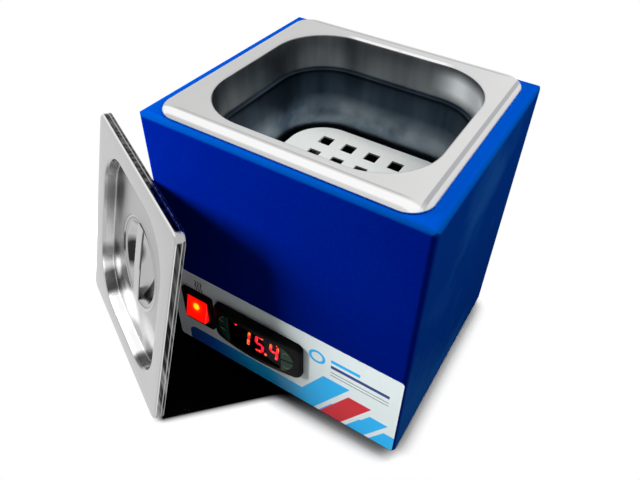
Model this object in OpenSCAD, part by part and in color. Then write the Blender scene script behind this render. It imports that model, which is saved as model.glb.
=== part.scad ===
// Small laboratory water bath: a painted sheet-steel casing with a stainless pan let into its top,
// a loose lid, a lit rocker switch and a panel temperature controller.
// Millimetres. X is the width, Y the depth (the front faces -Y), Z is up.
// The origin is on the bench, under the centre of the casing.

/* [Casing] */
// How far the casing stands out past the pan's flange on its left and right
side_margin = 9.5; // [7:0.5:40]
// How far the casing stands out past the pan's flange in front and behind
end_margin = 6; // [5:0.5:40]
// Height of the casing, from its lower edge to its top
casing_h = 210; // [205:1:260]
// Thickness of the casing's sheet
casing_t = 1.5; // [0.8:0.1:2]
// Rounding of the casing's outer edges
casing_round = 4; // [2.5:0.5:6]
// Width of the flange that is turned in round the casing's foot
return_w = 14; // [10:1:16]

/* [Base and feet] */
// Thickness of the base plate
base_t = 1; // [0.8:0.1:2]
// How far the base plate stays inside the casing's edges
base_inset = 2; // [1:0.5:4]
// Height of a rubber foot
foot_h = 9; // [7:0.5:20]
// Radius of a rubber foot
foot_r = 9; // [7:0.5:11]
// Distance of a foot's centre from the casing's sides
foot_inset = 24; // [22:1:30]
// Radius of a foot screw's shank
foot_screw_r = 2; // [1.5:0.25:2.5]
// Radius of a base screw's shank
base_screw_r = 1.6; // [1.2:0.1:2]
// Length of an air slot in the base plate
vent_l = 26; // [16:1:32]
// Width of an air slot
vent_w = 3; // [2:0.5:5]

/* [Pan] */
// Width of the flange from the mouth to its left or right edge
ledge_w = 12.5; // [9:0.5:20]
// Width of the flange from the mouth to its front or back edge
ledge_d = 11.5; // [9:0.5:20]
// Corner radius of the flange
flange_r = 14; // [6:1:18]
// Height of the flange's turned-down lip
lip_h = 3.5; // [3:0.5:8]
// Thickness of the pan's sheet
pan_t = 1; // [0.6:0.1:1.2]
// Width of the pan's mouth
mouth_w = 151; // [140:1:220]
// Depth of the pan's mouth, front to back
mouth_d = 139; // [130:1:200]
// Corner radius of the mouth
mouth_r = 40; // [30:1:42]
// Depth of the stacking shoulder below the flange's top
shoulder_h = 26.5; // [15:0.5:35]
// How far the shoulder steps in
shoulder_in = 3; // [1.5:0.5:4]
// Inside depth of the pan
pan_depth = 100; // [85:1:110]
// How far the pan sits behind the casing's centre (negative is forward)
pan_y = -1; // [-3:0.5:0]
// Thickness of the seal under the flange
seal_t = 0.5; // [0.3:0.1:1.5]

/* [False bottom] */
// Gap between the false bottom's edge and the pan's wall
false_gap = 7; // [4:0.5:12]
// Thickness of the false bottom
false_t = 1.5; // [1:0.1:3]
// Height of the false bottom's legs
false_leg = 24; // [10:1:40]
// Side of a square hole in the false bottom
false_hole = 10; // [6:0.5:12]
// Distance between the holes' centres
false_pitch = 20; // [16:1:26]

/* [Lid] */
// How far the lid stays inside the flange's edges
lid_in = 1; // [0:0.5:4]
// Height of the lid's turned-down rim
lid_rim = 7; // [5:0.5:9]
// Corner radius of the lid
lid_r = 8; // [5:0.5:14]
// Thickness of the lid's sheet
lid_t = 0.8; // [0.6:0.1:1.2]
// Distance from the lid's edge to its sunk panel
sunk_inset = 18; // [17:0.5:24]
// Depth of the sunk panel
sunk_depth = 9.5; // [6:0.5:9.5]
// Corner radius of the sunk panel
sunk_r = 35; // [20:1:40]
// Radius of the finger dish in the sunk panel
dish_r = 32; // [28:1:36]
// Depth of the finger dish
dish_depth = 13; // [9:0.5:14]
// Radius of the pressed ring round the dish
ring_r = 36.5; // [36:0.25:40]
// Width of the handle strap
handle_w = 12; // [10:0.5:18]
// Thickness of the handle strap
handle_t = 1.5; // [1:0.1:2]
// How far the lid's face is turned to the left of the front
lid_yaw = 27.2; // [20:0.1:40]
// How far the standing lid leans back
lid_lean = 13.5; // [10:0.1:20]
// How far the lid's middle stands to the left of the corner it leans on
lid_shift = 18.5; // [0:0.5:40]

/* [Front label] */
// How far the front label stays inside the casing's left and right sides
label_in = 1.5; // [1:0.5:6]
// Height of the front label
label_h = 81.5; // [78:0.5:100]
// Thickness of the front label
label_t = 0.3; // [0.2:0.05:0.6]
// Corner radius of the front label
label_r = 2.5; // [1:0.5:6]
// Height of the label's lower edge above the casing's
label_up = 1; // [0.5:0.5:4]

/* [Switch] */
// Distance of the switch's centre from the casing's left side
switch_in = 26.3; // [24:0.1:28]
// Height of the switch's centre above the casing's lower edge
switch_up = 48.3; // [44:0.1:56]
// Width of the switch's bezel
switch_w = 28.4; // [26:0.2:30]
// Height of the switch's bezel
switch_h = 34.7; // [33:0.1:38]
// Thickness of the switch's bezel
switch_bezel_t = 2.5; // [2:0.1:4]
// Width of the rocker
rocker_w = 18.8; // [15:0.2:19]
// Height of the rocker
rocker_h = 20; // [16:0.5:21]
// Angle that the rocker turns between ON and OFF
rocker_throw = 28; // [20:1:30]
// Angle of each half of the rocker's face
rocker_vee = 3; // [0:0.5:6]
// Radius of the rocker's trunnions
trunnion_r = 1.2; // [0.8:0.1:1.5]
// Depth of the switch's body behind the panel
switch_deep = 24; // [20:1:34]

/* [Controller] */
// Gap between the switch's bezel and the controller's
bezel_gap = 3.2; // [2.8:0.1:20]
// Height of the controller's centre above the casing's lower edge
control_up = 49.6; // [44:0.1:56]
// Width of the controller's bezel
control_w = 76; // [74:0.5:80]
// Height of the controller's bezel
control_h = 35; // [33:0.5:38]
// Corner radius of the controller's bezel
control_r = 5; // [3:0.5:8]
// Thickness of the controller's bezel at its ends
control_edge = 4; // [3:0.5:6]
// How much more the bezel stands out in its middle
control_crown = 3.5; // [2:0.25:5]
// Depth of the controller's case behind the panel
case_deep = 58; // [40:1:70]
// Height of the controller's window
window_h = 26; // [24:0.5:28]
// Height of a lit digit
digit_h = 18.5; // [12:0.5:19]
// Height of a pair of keys
keys_h = 27; // [22:0.5:28]
// Width of a key
key_w = 10; // [7:0.5:10.5]
// Distance of a key from the end of the bezel
key_in = 5; // [4.5:0.25:7]
// Width of the bar between the keys and the window
web_w = 1; // [0.8:0.1:2]
// Travel of a key
key_travel = 0.8; // [0.4:0.1:1.2]

/* [Heater and insulation] */
// Thickness of the heater mat
mat_t = 3; // [1.5:0.5:5]
// Thickness of the plate that presses the mat to the pan
press_t = 2; // [1:0.5:4]
// Thickness of the insulation pad under the heater
pad_t = 16; // [10:1:20]
// Thickness of the insulation round the pan
wrap_t = 8.5; // [5:0.5:8.5]
// Thickness of the insulation tray's sheet
tray_t = 1; // [0.6:0.1:1.2]
// Height of the tray's turned-up edge
tray_edge = 14; // [8:1:24]
// Radius of the temperature probe
probe_r = 3; // [2:0.25:3.5]

/* [Inlet] */
// Distance of the inlet's centre from the casing's left side
inlet_in = 52.5; // [40:0.5:100]
// Height of the inlet's centre above the casing's lower edge
inlet_up = 38; // [30:1:60]
// Width of the inlet's flange
inlet_w = 50; // [48:1:56]
// Height of the inlet's flange
inlet_h = 33; // [32:0.5:38]
// How far the fuse drawer pulls out
drawer_travel = 22; // [12:1:24]

/* [Hidden] */
$fn = 64;

// Clearances
seat = 0.3;
slip = 0.1;
bite = 1;

// The mouth sets the flange, and the flange sets the casing and the lid
flange_w = mouth_w + 2 * ledge_w;
flange_d = mouth_d + 2 * ledge_d;
casing_w = flange_w + 2 * side_margin;
casing_d = flange_d + 2 * end_margin;
lid_w = flange_d - 2 * lid_in;
lid_l = flange_w - 2 * lid_in;
label_w = casing_w - 2 * label_in;
switch_x = switch_in - casing_w / 2;
control_x = switch_x + switch_w / 2 + bezel_gap + control_w / 2;
inlet_x = inlet_in - casing_w / 2;

// Heights above the bench
foot_z = foot_h + base_t;
casing_top = foot_z + casing_h;
flange_top = casing_top + seal_t + lip_h;
floor_z = flange_top - pan_depth;
shoulder_z = flange_top - shoulder_h;
mat_z = floor_z - pan_t - mat_t;
press_z = mat_z - press_t;
pad_z = press_z - pad_t;
tray_z = pad_z - tray_t;
inside_z = foot_z + casing_t;

// The pan's lower well
well_w = mouth_w - 2 * shoulder_in;
well_d = mouth_d - 2 * shoulder_in;
well_r = mouth_r - shoulder_in;

// Faces of the casing
front_y = -casing_d / 2 - label_t;
rear_y = casing_d / 2;

// Studs under the pan
stud_r = 2;
stud_x = well_w / 2 - 24;
stud_y = well_d / 2 - 22;
stud_nut_h = 3;
mat_r = 8;
mat_w = 2 * (stud_x - mat_r);
mat_d = 2 * (stud_y - mat_r);
press_w = 2 * (stud_x + mat_r);
press_d = 2 * (stud_y + mat_r);

// Bends of the sheets and seats of the round parts
hex = 6;
nut_r = 4;
nut_h = 3;
head_r = 3.4;
head_h = 2.2;
screw_spare = 5;

// Screws that hold the base plate to the casing's flange
base_screw_in = (return_w + base_inset) / 2;
base_screw_rows = [-0.6, 0.6];

// ---------- shared shapes ----------

// Flat rectangle with true round corners
module rounded(w, d, r) {
  square([w - 2 * r, d], center = true);
  square([w, d - 2 * r], center = true);
  for (sx = [-1, 1], sy = [-1, 1])
    translate([sx * (w / 2 - r), sy * (d / 2 - r)])
      circle(r);
}

// Plate with round corners, its underside at z = 0
module slab(w, d, h, r) {
  linear_extrude(h)
    rounded(w, d, r);
}

// Four copies, mirrored left to right and front to back
module four(x, y) {
  for (sx = [-1, 1], sy = [-1, 1])
    translate([sx * x, sy * y, 0])
      children();
}

// Pan-head screw: the head's underside is at z = 0, the shank points up
module screw(r, l, head, thick) {
  translate([0, 0, -thick])
    cylinder(r = head, h = thick);
  translate([0, 0, -slip])
    cylinder(r = r, h = l + slip);
}

// Hexagon nut with its hole, its underside at z = 0
module nut(r, h, hole) {
  difference() {
    cylinder(r = r, h = h, $fn = hex);
    translate([0, 0, -bite])
      cylinder(r = hole, h = h + 2 * bite);
  }
}

// Front panel frame: x right, y up, z out of the panel, from the label's face
module on_front(x, up) {
  translate([x, front_y, foot_z + up])
    rotate([90, 0, 0])
      children();
}

// Rear wall frame: x to the left seen from behind is flipped, y up, z out of the wall
module on_rear(x, up) {
  translate([x, rear_y, foot_z + up])
    rotate([90, 0, 180])
      children();
}

// Place in the middle of the pan
module at_pan(z) {
  translate([0, pan_y, z])
    children();
}

// ---------- casing ----------

module casing_outside() {
  intersection() {
    slab(casing_w, casing_d, casing_h, casing_round);
    translate([0, casing_d / 2, 0])
      rotate([90, 0, 0])
        linear_extrude(casing_d)
          arch(casing_w);
    translate([-casing_w / 2, 0, 0])
      rotate([90, 0, 90])
        linear_extrude(casing_w)
          arch(casing_d);
  }
}

// Upright rectangle whose two upper corners are round
module arch(w) {
  for (side = [-1, 1])
    translate([side * (w / 2 - casing_round), casing_h - casing_round])
      circle(casing_round);
  translate([-w / 2, 0])
    square([w, casing_h - casing_round]);
  translate([casing_round - w / 2, 0])
    square([w - 2 * casing_round, casing_h]);
}

module casing() {
  color("mediumblue")
    difference() {
      translate([0, 0, foot_z])
        casing_outside();
      translate([0, 0, inside_z])
        slab(casing_w - 2 * casing_t, casing_d - 2 * casing_t, casing_h - 2 * casing_t, 1);
      translate([0, 0, foot_z - bite])
        slab(casing_w - 2 * return_w, casing_d - 2 * return_w, casing_t + 2 * bite, 3);
      at_pan(casing_top - casing_t - bite)
        pan_hole(casing_t + 2 * bite);
      front_cuts(casing_t + label_t + bite);
      rear_cuts();
      base_screw_places()
        cylinder(r = base_screw_r + slip, h = 2 * (base_t + casing_t + bite), center = true);
    }
}

// Opening that the pan drops through
module pan_hole(h) {
  slab(mouth_w + 2 * pan_t + 4, mouth_d + 2 * pan_t + 4, h, mouth_r + pan_t + 2);
}

// Cut-outs for the switch and the controller
module front_cuts(deep) {
  on_front(switch_x, switch_up)
    translate([0, 0, -deep])
      slab(switch_body_w + 2 * seat, switch_body_h + 2 * seat, deep + bite, 1);
  on_front(control_x, control_up)
    translate([0, 0, -deep])
      slab(case_w + 2 * seat, case_h + 2 * seat, deep + bite, 1.5);
}

// Cut-out and screw holes for the inlet
module rear_cuts() {
  on_rear(inlet_x, inlet_up) {
    translate([0, 0, -casing_t - bite])
      slab(inlet_body_w + 2 * seat, inlet_body_h + 2 * seat, casing_t + 2 * bite, 1.5);
    inlet_screw_places()
      cylinder(r = inlet_screw_r + slip, h = 2 * (casing_t + bite), center = true);
  }
}

// ---------- base and feet ----------

module base_screw_places() {
  for (sx = [-1, 1], k = base_screw_rows)
    translate([sx * (casing_w / 2 - base_screw_in), k * casing_d / 2, foot_z])
      children();
}

module foot_places() {
  four(casing_w / 2 - foot_inset, casing_d / 2 - foot_inset)
    children();
}

module base_plate() {
  color("gainsboro")
    difference() {
      translate([0, 0, foot_h])
        slab(casing_w - 2 * base_inset, casing_d - 2 * base_inset, base_t, casing_round);
      base_screw_places()
        cylinder(r = base_screw_r + slip, h = 2 * (base_t + bite), center = true);
      foot_places()
        translate([0, 0, foot_h - bite])
          cylinder(r = foot_screw_r + slip, h = base_t + 2 * bite);
      translate([earth_x, earth_y, foot_h - bite])
        cylinder(r = earth_r + slip, h = base_t + 2 * bite);
      for (row = [-1, 1], k = [-2:2])
        translate([row * (vent_l / 2 + 5), vents_y + k * vent_pitch, foot_h - bite])
          slab(vent_l, vent_w, base_t + 2 * bite, vent_w / 2 - 0.05);
    }
}

vent_pitch = vent_w + 5;
vents_y = -12;

module base_screws() {
  color("silver")
    base_screw_places()
      translate([0, 0, -base_t])
        screw(base_screw_r, base_t + casing_t + screw_spare, head_r, head_h);
}

foot_bore = foot_h * 0.4;

module feet() {
  color("dimgray")
    foot_places()
      difference() {
        cylinder(r = foot_r, h = foot_h);
        translate([0, 0, -bite])
          cylinder(r = head_r + 0.6, h = foot_bore + bite);
        translate([0, 0, -bite])
          cylinder(r = foot_screw_r + slip, h = foot_h + 2 * bite);
      }
}

module foot_screws() {
  color("silver")
    foot_places()
      translate([0, 0, foot_bore])
        screw(foot_screw_r, foot_z - foot_bore + nut_h + 1, head_r, head_h);
}

module foot_nuts() {
  color("silver")
    foot_places()
      translate([0, 0, foot_z])
        nut(nut_r, nut_h, foot_screw_r + slip);
}

// ---------- pan ----------

module pan() {
  color("lightgray")
    at_pan(0)
      difference() {
        union() {
          translate([0, 0, flange_top - lip_h])
            slab(flange_w, flange_d, lip_h, flange_r);
          translate([0, 0, shoulder_z - pan_t])
            slab(mouth_w + 2 * pan_t, mouth_d + 2 * pan_t, shoulder_h, mouth_r + pan_t);
          translate([0, 0, floor_z - pan_t])
            slab(well_w + 2 * pan_t, well_d + 2 * pan_t, pan_depth, well_r + pan_t);
        }
        difference() {
          translate([0, 0, flange_top - lip_h - bite])
            slab(flange_w - 2 * pan_t, flange_d - 2 * pan_t, lip_h + bite - pan_t, flange_r - pan_t);
          translate([0, 0, shoulder_z])
            slab(mouth_w + 2 * pan_t, mouth_d + 2 * pan_t, shoulder_h, mouth_r + pan_t);
        }
        translate([0, 0, shoulder_z])
          slab(mouth_w, mouth_d, shoulder_h + bite, mouth_r);
        translate([0, 0, floor_z])
          slab(well_w, well_d, pan_depth, well_r);
      }
}

module pan_seal() {
  color("silver")
    at_pan(casing_top)
      difference() {
        slab(flange_w - 0.6, flange_d - 0.6, seal_t, flange_r);
        translate([0, 0, -bite])
          slab(flange_w - 7, flange_d - 7, seal_t + 2 * bite, flange_r - 3);
      }
}

module stud_places() {
  at_pan(0)
    four(stud_x, stud_y)
      children();
}

module pan_studs() {
  color("silver")
    stud_places()
      translate([0, 0, tray_z - stud_nut_h - 2])
        cylinder(r = stud_r, h = floor_z - pan_t - tray_z + stud_nut_h + 2);
}

module stud_nuts() {
  color("silver")
    stud_places()
      translate([0, 0, tray_z - stud_nut_h])
        nut(nut_r, stud_nut_h, stud_r + slip);
}

// ---------- false bottom ----------

false_w = well_w - 2 * false_gap;
false_d = well_d - 2 * false_gap;
false_r = well_r - false_gap;
false_leg_r = 2.5;

// A hole fits where its far corner stays inside the plate's rounded outline
function hole_fits(x, y) =
  let (
    ex = abs(x) + false_hole / 2 - (false_w / 2 - false_r),
    ey = abs(y) + false_hole / 2 - (false_d / 2 - false_r)
  )
  max(ex, ey) < false_r - 5 && (min(ex, ey) < 0 || norm([ex, ey]) < false_r - 4);

module false_bottom() {
  color("gainsboro")
    at_pan(floor_z + false_leg)
      difference() {
        union() {
          slab(false_w, false_d, false_t, false_r);
          four(false_w / 2 - false_r / 2, false_d / 2 - false_r / 2)
            translate([0, 0, -false_leg])
              cylinder(r = false_leg_r, h = false_leg);
        }
        for (i = [-4:4], j = [-4:4])
          if (hole_fits(i * false_pitch, j * false_pitch))
            translate([i * false_pitch, j * false_pitch, 0])
              cube([false_hole, false_hole, 4 * false_t], center = true);
      }
}

// ---------- lid ----------

sunk_z = lid_rim - sunk_depth;
sunk_w = lid_w - 2 * sunk_inset;
sunk_l = lid_l - 2 * sunk_inset;
dish_round = (dish_r * dish_r + dish_depth * dish_depth) / (2 * dish_depth);
ring_h = 0.6;
ring_w = 1.6;

// Lid's own frame: lying flat, rim edge at z = 0, lower edge of the standing lid at y = 0.
// Here it is stood up, leant back and moved to the casing's front-left corner.
module lid_place() {
  translate([casing_round - casing_w / 2, casing_round - casing_d / 2, 0])
    rotate([0, 0, -lid_yaw])
      translate([-lid_shift, -(casing_round + seat + lid_l * sin(lid_lean)), 0])
        rotate([90 - lid_lean, 0, 0])
          translate([0, lid_l / 2, 0])
            children();
}

// Round bowl below the sunk panel, cut off at the panel's face
module dish(grow) {
  intersection() {
    translate([0, 0, sunk_z - dish_depth + dish_round])
      sphere(r = dish_round + grow);
    translate([0, 0, sunk_z - dish_depth - grow - bite])
      cylinder(r = dish_r + grow, h = dish_depth + grow + bite);
  }
}

module lid() {
  color("silver")
    lid_place()
      difference() {
        union() {
          difference() {
            slab(lid_w, lid_l, lid_rim, lid_r);
            translate([0, 0, -bite])
              slab(lid_w - 2 * lid_t, lid_l - 2 * lid_t, lid_rim - lid_t + bite, lid_r - lid_t);
          }
          translate([0, 0, sunk_z - lid_t])
            slab(sunk_w + 2 * lid_t, sunk_l + 2 * lid_t, sunk_depth + lid_t, sunk_r + lid_t);
          dish(lid_t);
        }
        difference() {
          translate([0, 0, sunk_z])
            slab(sunk_w, sunk_l, sunk_depth + bite, sunk_r);
          translate([0, 0, sunk_z - bite])
            difference() {
              cylinder(r = ring_r, h = bite + ring_h);
              translate([0, 0, -bite])
                cylinder(r = ring_r - ring_w, h = ring_h + 3 * bite);
            }
        }
        dish(0);
      }
}

// Straight strap across the dish, whose ends lie inside the pressed ring
module lid_handle() {
  color("silver")
    lid_place()
      translate([0, 0, sunk_z])
        intersection() {
          translate([-handle_w / 2, -ring_r, 0])
            cube([handle_w, 2 * ring_r, handle_t]);
          cylinder(r = ring_r - ring_w - slip, h = handle_t);
        }
}

// ---------- front label ----------

module front_label() {
  color("white")
    difference() {
      on_front(0, label_up + label_h / 2)
        translate([0, 0, -label_t])
          slab(label_w, label_h, label_t, label_r);
      front_cuts(label_t + bite);
    }
}

// ---------- switch ----------

switch_body_w = switch_w - 4;
switch_body_h = switch_h - 4;
rocker_open_w = rocker_w + 2 * seat;
rocker_open_h = rocker_h + 2;
rocker_front = 3.4;
rocker_back = 4;
trunnion_l = 1.5;
switch_wall_back = 2;
tab_w = 6.3;
tab_t = 0.8;
tab_pitch = 9;

module switch_housing() {
  color("black")
    on_front(switch_x, switch_up)
      difference() {
        union() {
          slab(switch_w, switch_h, switch_bezel_t, 2);
          translate([0, 0, -switch_deep])
            slab(switch_body_w, switch_body_h, switch_deep, 0.8);
        }
        translate([0, 0, -switch_deep + switch_wall_back])
          slab(rocker_open_w, rocker_open_h, switch_deep + switch_bezel_t, 0.8);
        rotate([0, 90, 0])
          cylinder(r = trunnion_r + 0.06, h = rocker_w + 2 * trunnion_l + 2 * slip, center = true);
        for (k = [-1:1])
          translate([0, k * tab_pitch, -switch_deep])
            cube([tab_w + 2 * slip, tab_t + 2 * slip, 4 * switch_wall_back], center = true);
      }
}

// Side outline of the rocker in its middle position: x is up the panel, y is out of it
rocker_rise = rocker_h / 2 * tan(rocker_vee);
rocker_side = [
  [-rocker_h / 2, -rocker_back],
  [rocker_h / 2, -rocker_back],
  [rocker_h / 2, rocker_front + rocker_rise],
  [0, rocker_front],
  [-rocker_h / 2, rocker_front + rocker_rise]
];

// Pressed at its upper end: ON
module switch_rocker() {
  color("red")
    on_front(switch_x, switch_up)
      rotate([-rocker_throw / 2, 0, 0])
        union() {
          rotate([90, 0, 90])
            translate([0, 0, -rocker_w / 2])
              linear_extrude(rocker_w)
                polygon(rocker_side);
          rotate([0, 90, 0])
            cylinder(r = trunnion_r, h = rocker_w + 2 * trunnion_l, center = true);
        }
}

lamp_r = 2.5;

module switch_lamp() {
  color("orange")
    on_front(switch_x, switch_up)
      translate([0, 0, -switch_deep + switch_wall_back])
        cylinder(r = lamp_r, h = 7);
}

module switch_tabs() {
  color("khaki")
    on_front(switch_x, switch_up)
      for (k = [-1:1])
        translate([-tab_w / 2, k * tab_pitch - tab_t / 2, -switch_deep - tail_l])
          cube([tab_w, tab_t, tail_l + switch_wall_back - slip]);
}

// ---------- controller ----------

case_w = control_w - 5;
case_h = control_h - 6;
case_wall = 2;
crown_r = (control_w * control_w / 4 + control_crown * control_crown) / (2 * control_crown);
crown_z = control_edge + control_crown - crown_r;
key_inner = control_w / 2 - key_in - key_w;
window_w = 2 * (key_inner - web_w);
window_z = control_edge + control_crown - 2;
window_t = 1.2;
window_ledge = 0.8;
glass_w = window_w - 2 * window_ledge;
glass_h = window_h - 2 * window_ledge;
display_t = 3;
lit_t = 0.35;
key_gap = 0.25;
key_arc = (keys_h * keys_h / 4 + key_w * key_w) / (2 * key_w);
key_proud = 0.4;
key_root = 1.5;

// Everything behind the controller's curved front, raised by a little
module under_crown(raise) {
  translate([0, 0, crown_z + raise])
    rotate([90, 0, 0])
      cylinder(r = crown_r, h = 2 * control_h, center = true, $fn = 256);
}

// Outline of one key: half of a D with its straight side towards the window
module key_outline(side, row, grow) {
  intersection() {
    translate([side * (key_inner + key_w - key_arc), 0])
      circle(key_arc + grow);
    translate([side * (key_inner + key_w / 2), row * (keys_h / 4 + 0.25)])
      square([key_w + 2 * grow, keys_h / 2 - 0.5 + 2 * grow], center = true);
  }
}

module controller_bezel() {
  color("black")
    on_front(control_x, control_up)
      difference() {
        intersection() {
          slab(control_w, control_h, control_edge + control_crown, control_r);
          under_crown(0);
        }
        translate([0, 0, window_z - window_t])
          slab(window_w, window_h, window_t + control_crown + bite, 1.5);
        translate([0, 0, -bite])
          slab(glass_w, glass_h, control_edge + control_crown, 1);
        for (side = [-1, 1], row = [-1, 1])
          translate([0, 0, -bite])
            linear_extrude(control_edge + control_crown + 2 * bite)
              key_outline(side, row, key_gap);
      }
}

module controller_window() {
  color("dimgray")
    on_front(control_x, control_up)
      translate([0, 0, window_z - window_t])
        slab(window_w - slip, window_h - slip, window_t, 1.4);
}

block_top = window_z - window_t - lit_t - slip;

module display_block() {
  color("black")
    on_front(control_x, control_up)
      translate([0, 0, block_top - display_t])
        slab(glass_w - 2 * slip, glass_h - 2 * slip, display_t, 0.9);
}

// Seven-segment figures
digit_lean = 8;
digit_pitch = glass_w * 0.2925;
digit_w = digit_pitch * 0.66;
bar = digit_h * 0.12;
digits_x = glass_w * 0.073;
digits_up = -1;

// One bar of a figure from a to b, with pointed ends, leaning with the figure
module segment(a, b) {
  along = (b - a) / norm(b - a);
  across = [-along[1], along[0]] * bar / 2;
  in = along * bar * 0.55;
  corners = [a + in * 0.15, a + in + across, b - in + across, b - in * 0.15, b - in - across, a + in - across];
  polygon([for (p = corners) [p[0] + p[1] * tan(digit_lean), p[1]]]);
}

// Ends of the bars, a to g, as fractions of the figure's width and height
bars = [
  [[-1, 1], [1, 1]], [[1, 1], [1, 0]], [[1, 0], [1, -1]], [[-1, -1], [1, -1]],
  [[-1, 0], [-1, -1]], [[-1, 1], [-1, 0]], [[-1, 0], [1, 0]]
];
figure_one = [1, 2];
figure_five = [0, 2, 3, 5, 6];
figure_four = [1, 2, 5, 6];

module figure(lit) {
  half = [digit_w - bar, digit_h - bar] / 2;
  for (k = lit)
    segment(
      [bars[k][0][0] * half[0], bars[k][0][1] * half[1]],
      [bars[k][1][0] * half[0], bars[k][1][1] * half[1]]
    );
}

module display_digits() {
  color("red")
    on_front(control_x, control_up)
      translate([digits_x, digits_up, block_top])
        linear_extrude(lit_t) {
          translate([-digit_pitch, 0])
            figure(figure_one);
          figure(figure_five);
          translate([digit_pitch, 0])
            figure(figure_four);
          translate([digit_pitch / 2 - bar * 0.6, bar / 2 - digit_h / 2])
            circle(bar * 0.6);
        }
}

lamp_up = window_h / 2 - 4;

module status_lamps() {
  color("red")
    on_front(control_x, control_up)
      for (x = [-window_w / 2 + 5.5, window_w / 2 - 2.9])
        translate([x, lamp_up, block_top])
          cylinder(r = 0.9, h = lit_t);
}

module key(side, row) {
  color("darkslategray")
    on_front(control_x, control_up)
      intersection() {
        translate([0, 0, key_root])
          linear_extrude(control_edge + control_crown + bite)
            key_outline(side, row, 0);
        under_crown(key_proud);
      }
}

module key_upper_left() {
  key(-1, 1);
}

module key_lower_left() {
  key(-1, -1);
}

module key_upper_right() {
  key(1, 1);
}

module key_lower_right() {
  key(1, -1);
}

board_t = 1.6;

module controller_case() {
  color("black")
    on_front(control_x, control_up)
      difference() {
        translate([0, 0, -case_deep])
          slab(case_w, case_h, case_deep, 1.2);
        translate([0, 0, -case_deep + case_wall])
          slab(case_w - 2 * case_wall, case_h - 2 * case_wall, case_deep, 1);
      }
}

// Upright board at the case's mouth, which carries the display and the keys' switches
module controller_board() {
  color("seagreen")
    on_front(control_x, control_up)
      translate([0, 0, -board_t - seat])
        slab(case_w - 2 * case_wall - 2 * slip, case_h - 2 * case_wall - 2 * slip, board_t, 0.9);
}

clip_t = 5;
clip_h = 18;
clip_l = 24;

module controller_clips() {
  color("dimgray")
    on_front(control_x, control_up)
      for (side = [-1, 1])
        translate([side * (case_w / 2 + clip_t / 2), 0, -label_t - casing_t - clip_l])
          slab(clip_t, clip_h, clip_l, 1);
}

strip_l = 9;
strip_pitch = 8;

module controller_terminals() {
  color("darkgreen")
    on_front(control_x, control_up)
      difference() {
        translate([0, 0, -case_deep - strip_l])
          slab(case_w - 12, 12, strip_l, 0.8);
        for (k = [-3:3])
          translate([k * strip_pitch, 0, -case_deep - strip_l - bite])
            cylinder(r = 2, h = strip_l * 0.6);
      }
}

// ---------- heater, insulation and sensors ----------

module heater_mat() {
  color("chocolate")
    at_pan(mat_z)
      slab(mat_w, mat_d, mat_t, mat_r);
}

module heater_plate() {
  color("lightgray")
    difference() {
      at_pan(press_z)
        slab(press_w, press_d, press_t, mat_r);
      stud_places()
        translate([0, 0, press_z - bite])
          cylinder(r = stud_r + 2 * slip, h = press_t + 2 * bite);
    }
}

pad_w = well_w - 12;
pad_d = well_d - 12;
pad_r = well_r - 6;

module insulation_pad() {
  color("khaki")
    difference() {
      at_pan(pad_z)
        slab(pad_w, pad_d, pad_t - seat, pad_r);
      stud_places()
        translate([0, 0, pad_z - bite])
          cylinder(r = stud_r + seat, h = pad_t + 2 * bite);
      at_pan(pad_z - bite)
        cylinder(r = cutout_r + 2, h = pad_t + 2 * bite);
    }
}

wrap_top = casing_top - casing_t - 2;
wrap_w = mouth_w + 2 * pan_t + 2 * seat;
wrap_d = mouth_d + 2 * pan_t + 2 * seat;
probe_x = control_x + case_w / 2 + 10;
probe_y = -well_d / 2 - pan_t - probe_r - slip;
probe_l = 42;
probe_z = floor_z + 8;

module insulation_wrap() {
  color("khaki")
    at_pan(0)
      difference() {
        translate([0, 0, pad_z + seat])
          slab(wrap_w + 2 * wrap_t, wrap_d + 2 * wrap_t, wrap_top - pad_z - seat, mouth_r);
        translate([0, 0, shoulder_z - pan_t - seat])
          slab(wrap_w, wrap_d, casing_h, mouth_r + pan_t);
        translate([0, 0, pad_z - bite])
          slab(wrap_w - 2 * shoulder_in, wrap_d - 2 * shoulder_in, casing_h, well_r + pan_t);
        translate([probe_x, probe_y, pad_z - bite])
          cylinder(r = clip_inner + clip_ring + seat, h = probe_z + probe_l + 4 - pad_z);
        translate([probe_x, probe_y, probe_z + probe_l / 2])
          cube([2 * (clip_inner + clip_foot), 2 * clip_inner, probe_l], center = true);
      }
}

module insulation_tray() {
  color("gainsboro")
    difference() {
      at_pan(tray_z)
        difference() {
          slab(tray_w, tray_d, tray_edge, mouth_r + 1.5);
          translate([0, 0, tray_t])
            slab(tray_w - 2 * tray_t, tray_d - 2 * tray_t, tray_edge, mouth_r + 1.5 - tray_t);
        }
      stud_places()
        translate([0, 0, tray_z - bite])
          cylinder(r = stud_r + 2 * slip, h = tray_t + 2 * bite);
      at_pan(tray_z - bite)
        cylinder(r = cutout_r, h = tray_t + 2 * bite);
      at_pan(tray_z - bite)
        translate([probe_x, probe_y, 0])
          cylinder(r = probe_r, h = tray_t + 2 * bite);
    }
}

tray_w = wrap_w + 2 * wrap_t + 2 * seat + 2 * tray_t;
tray_d = wrap_d + 2 * wrap_t + 2 * seat + 2 * tray_t;

module temperature_probe() {
  color("silver")
    at_pan(probe_z)
      translate([probe_x, probe_y, 0])
        cylinder(r = probe_r, h = probe_l);
}

clip_ring = 0.8;
clip_inner = probe_r + slip;
clip_h_on_wall = probe_l / 4;
clip_foot = 5;

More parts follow.
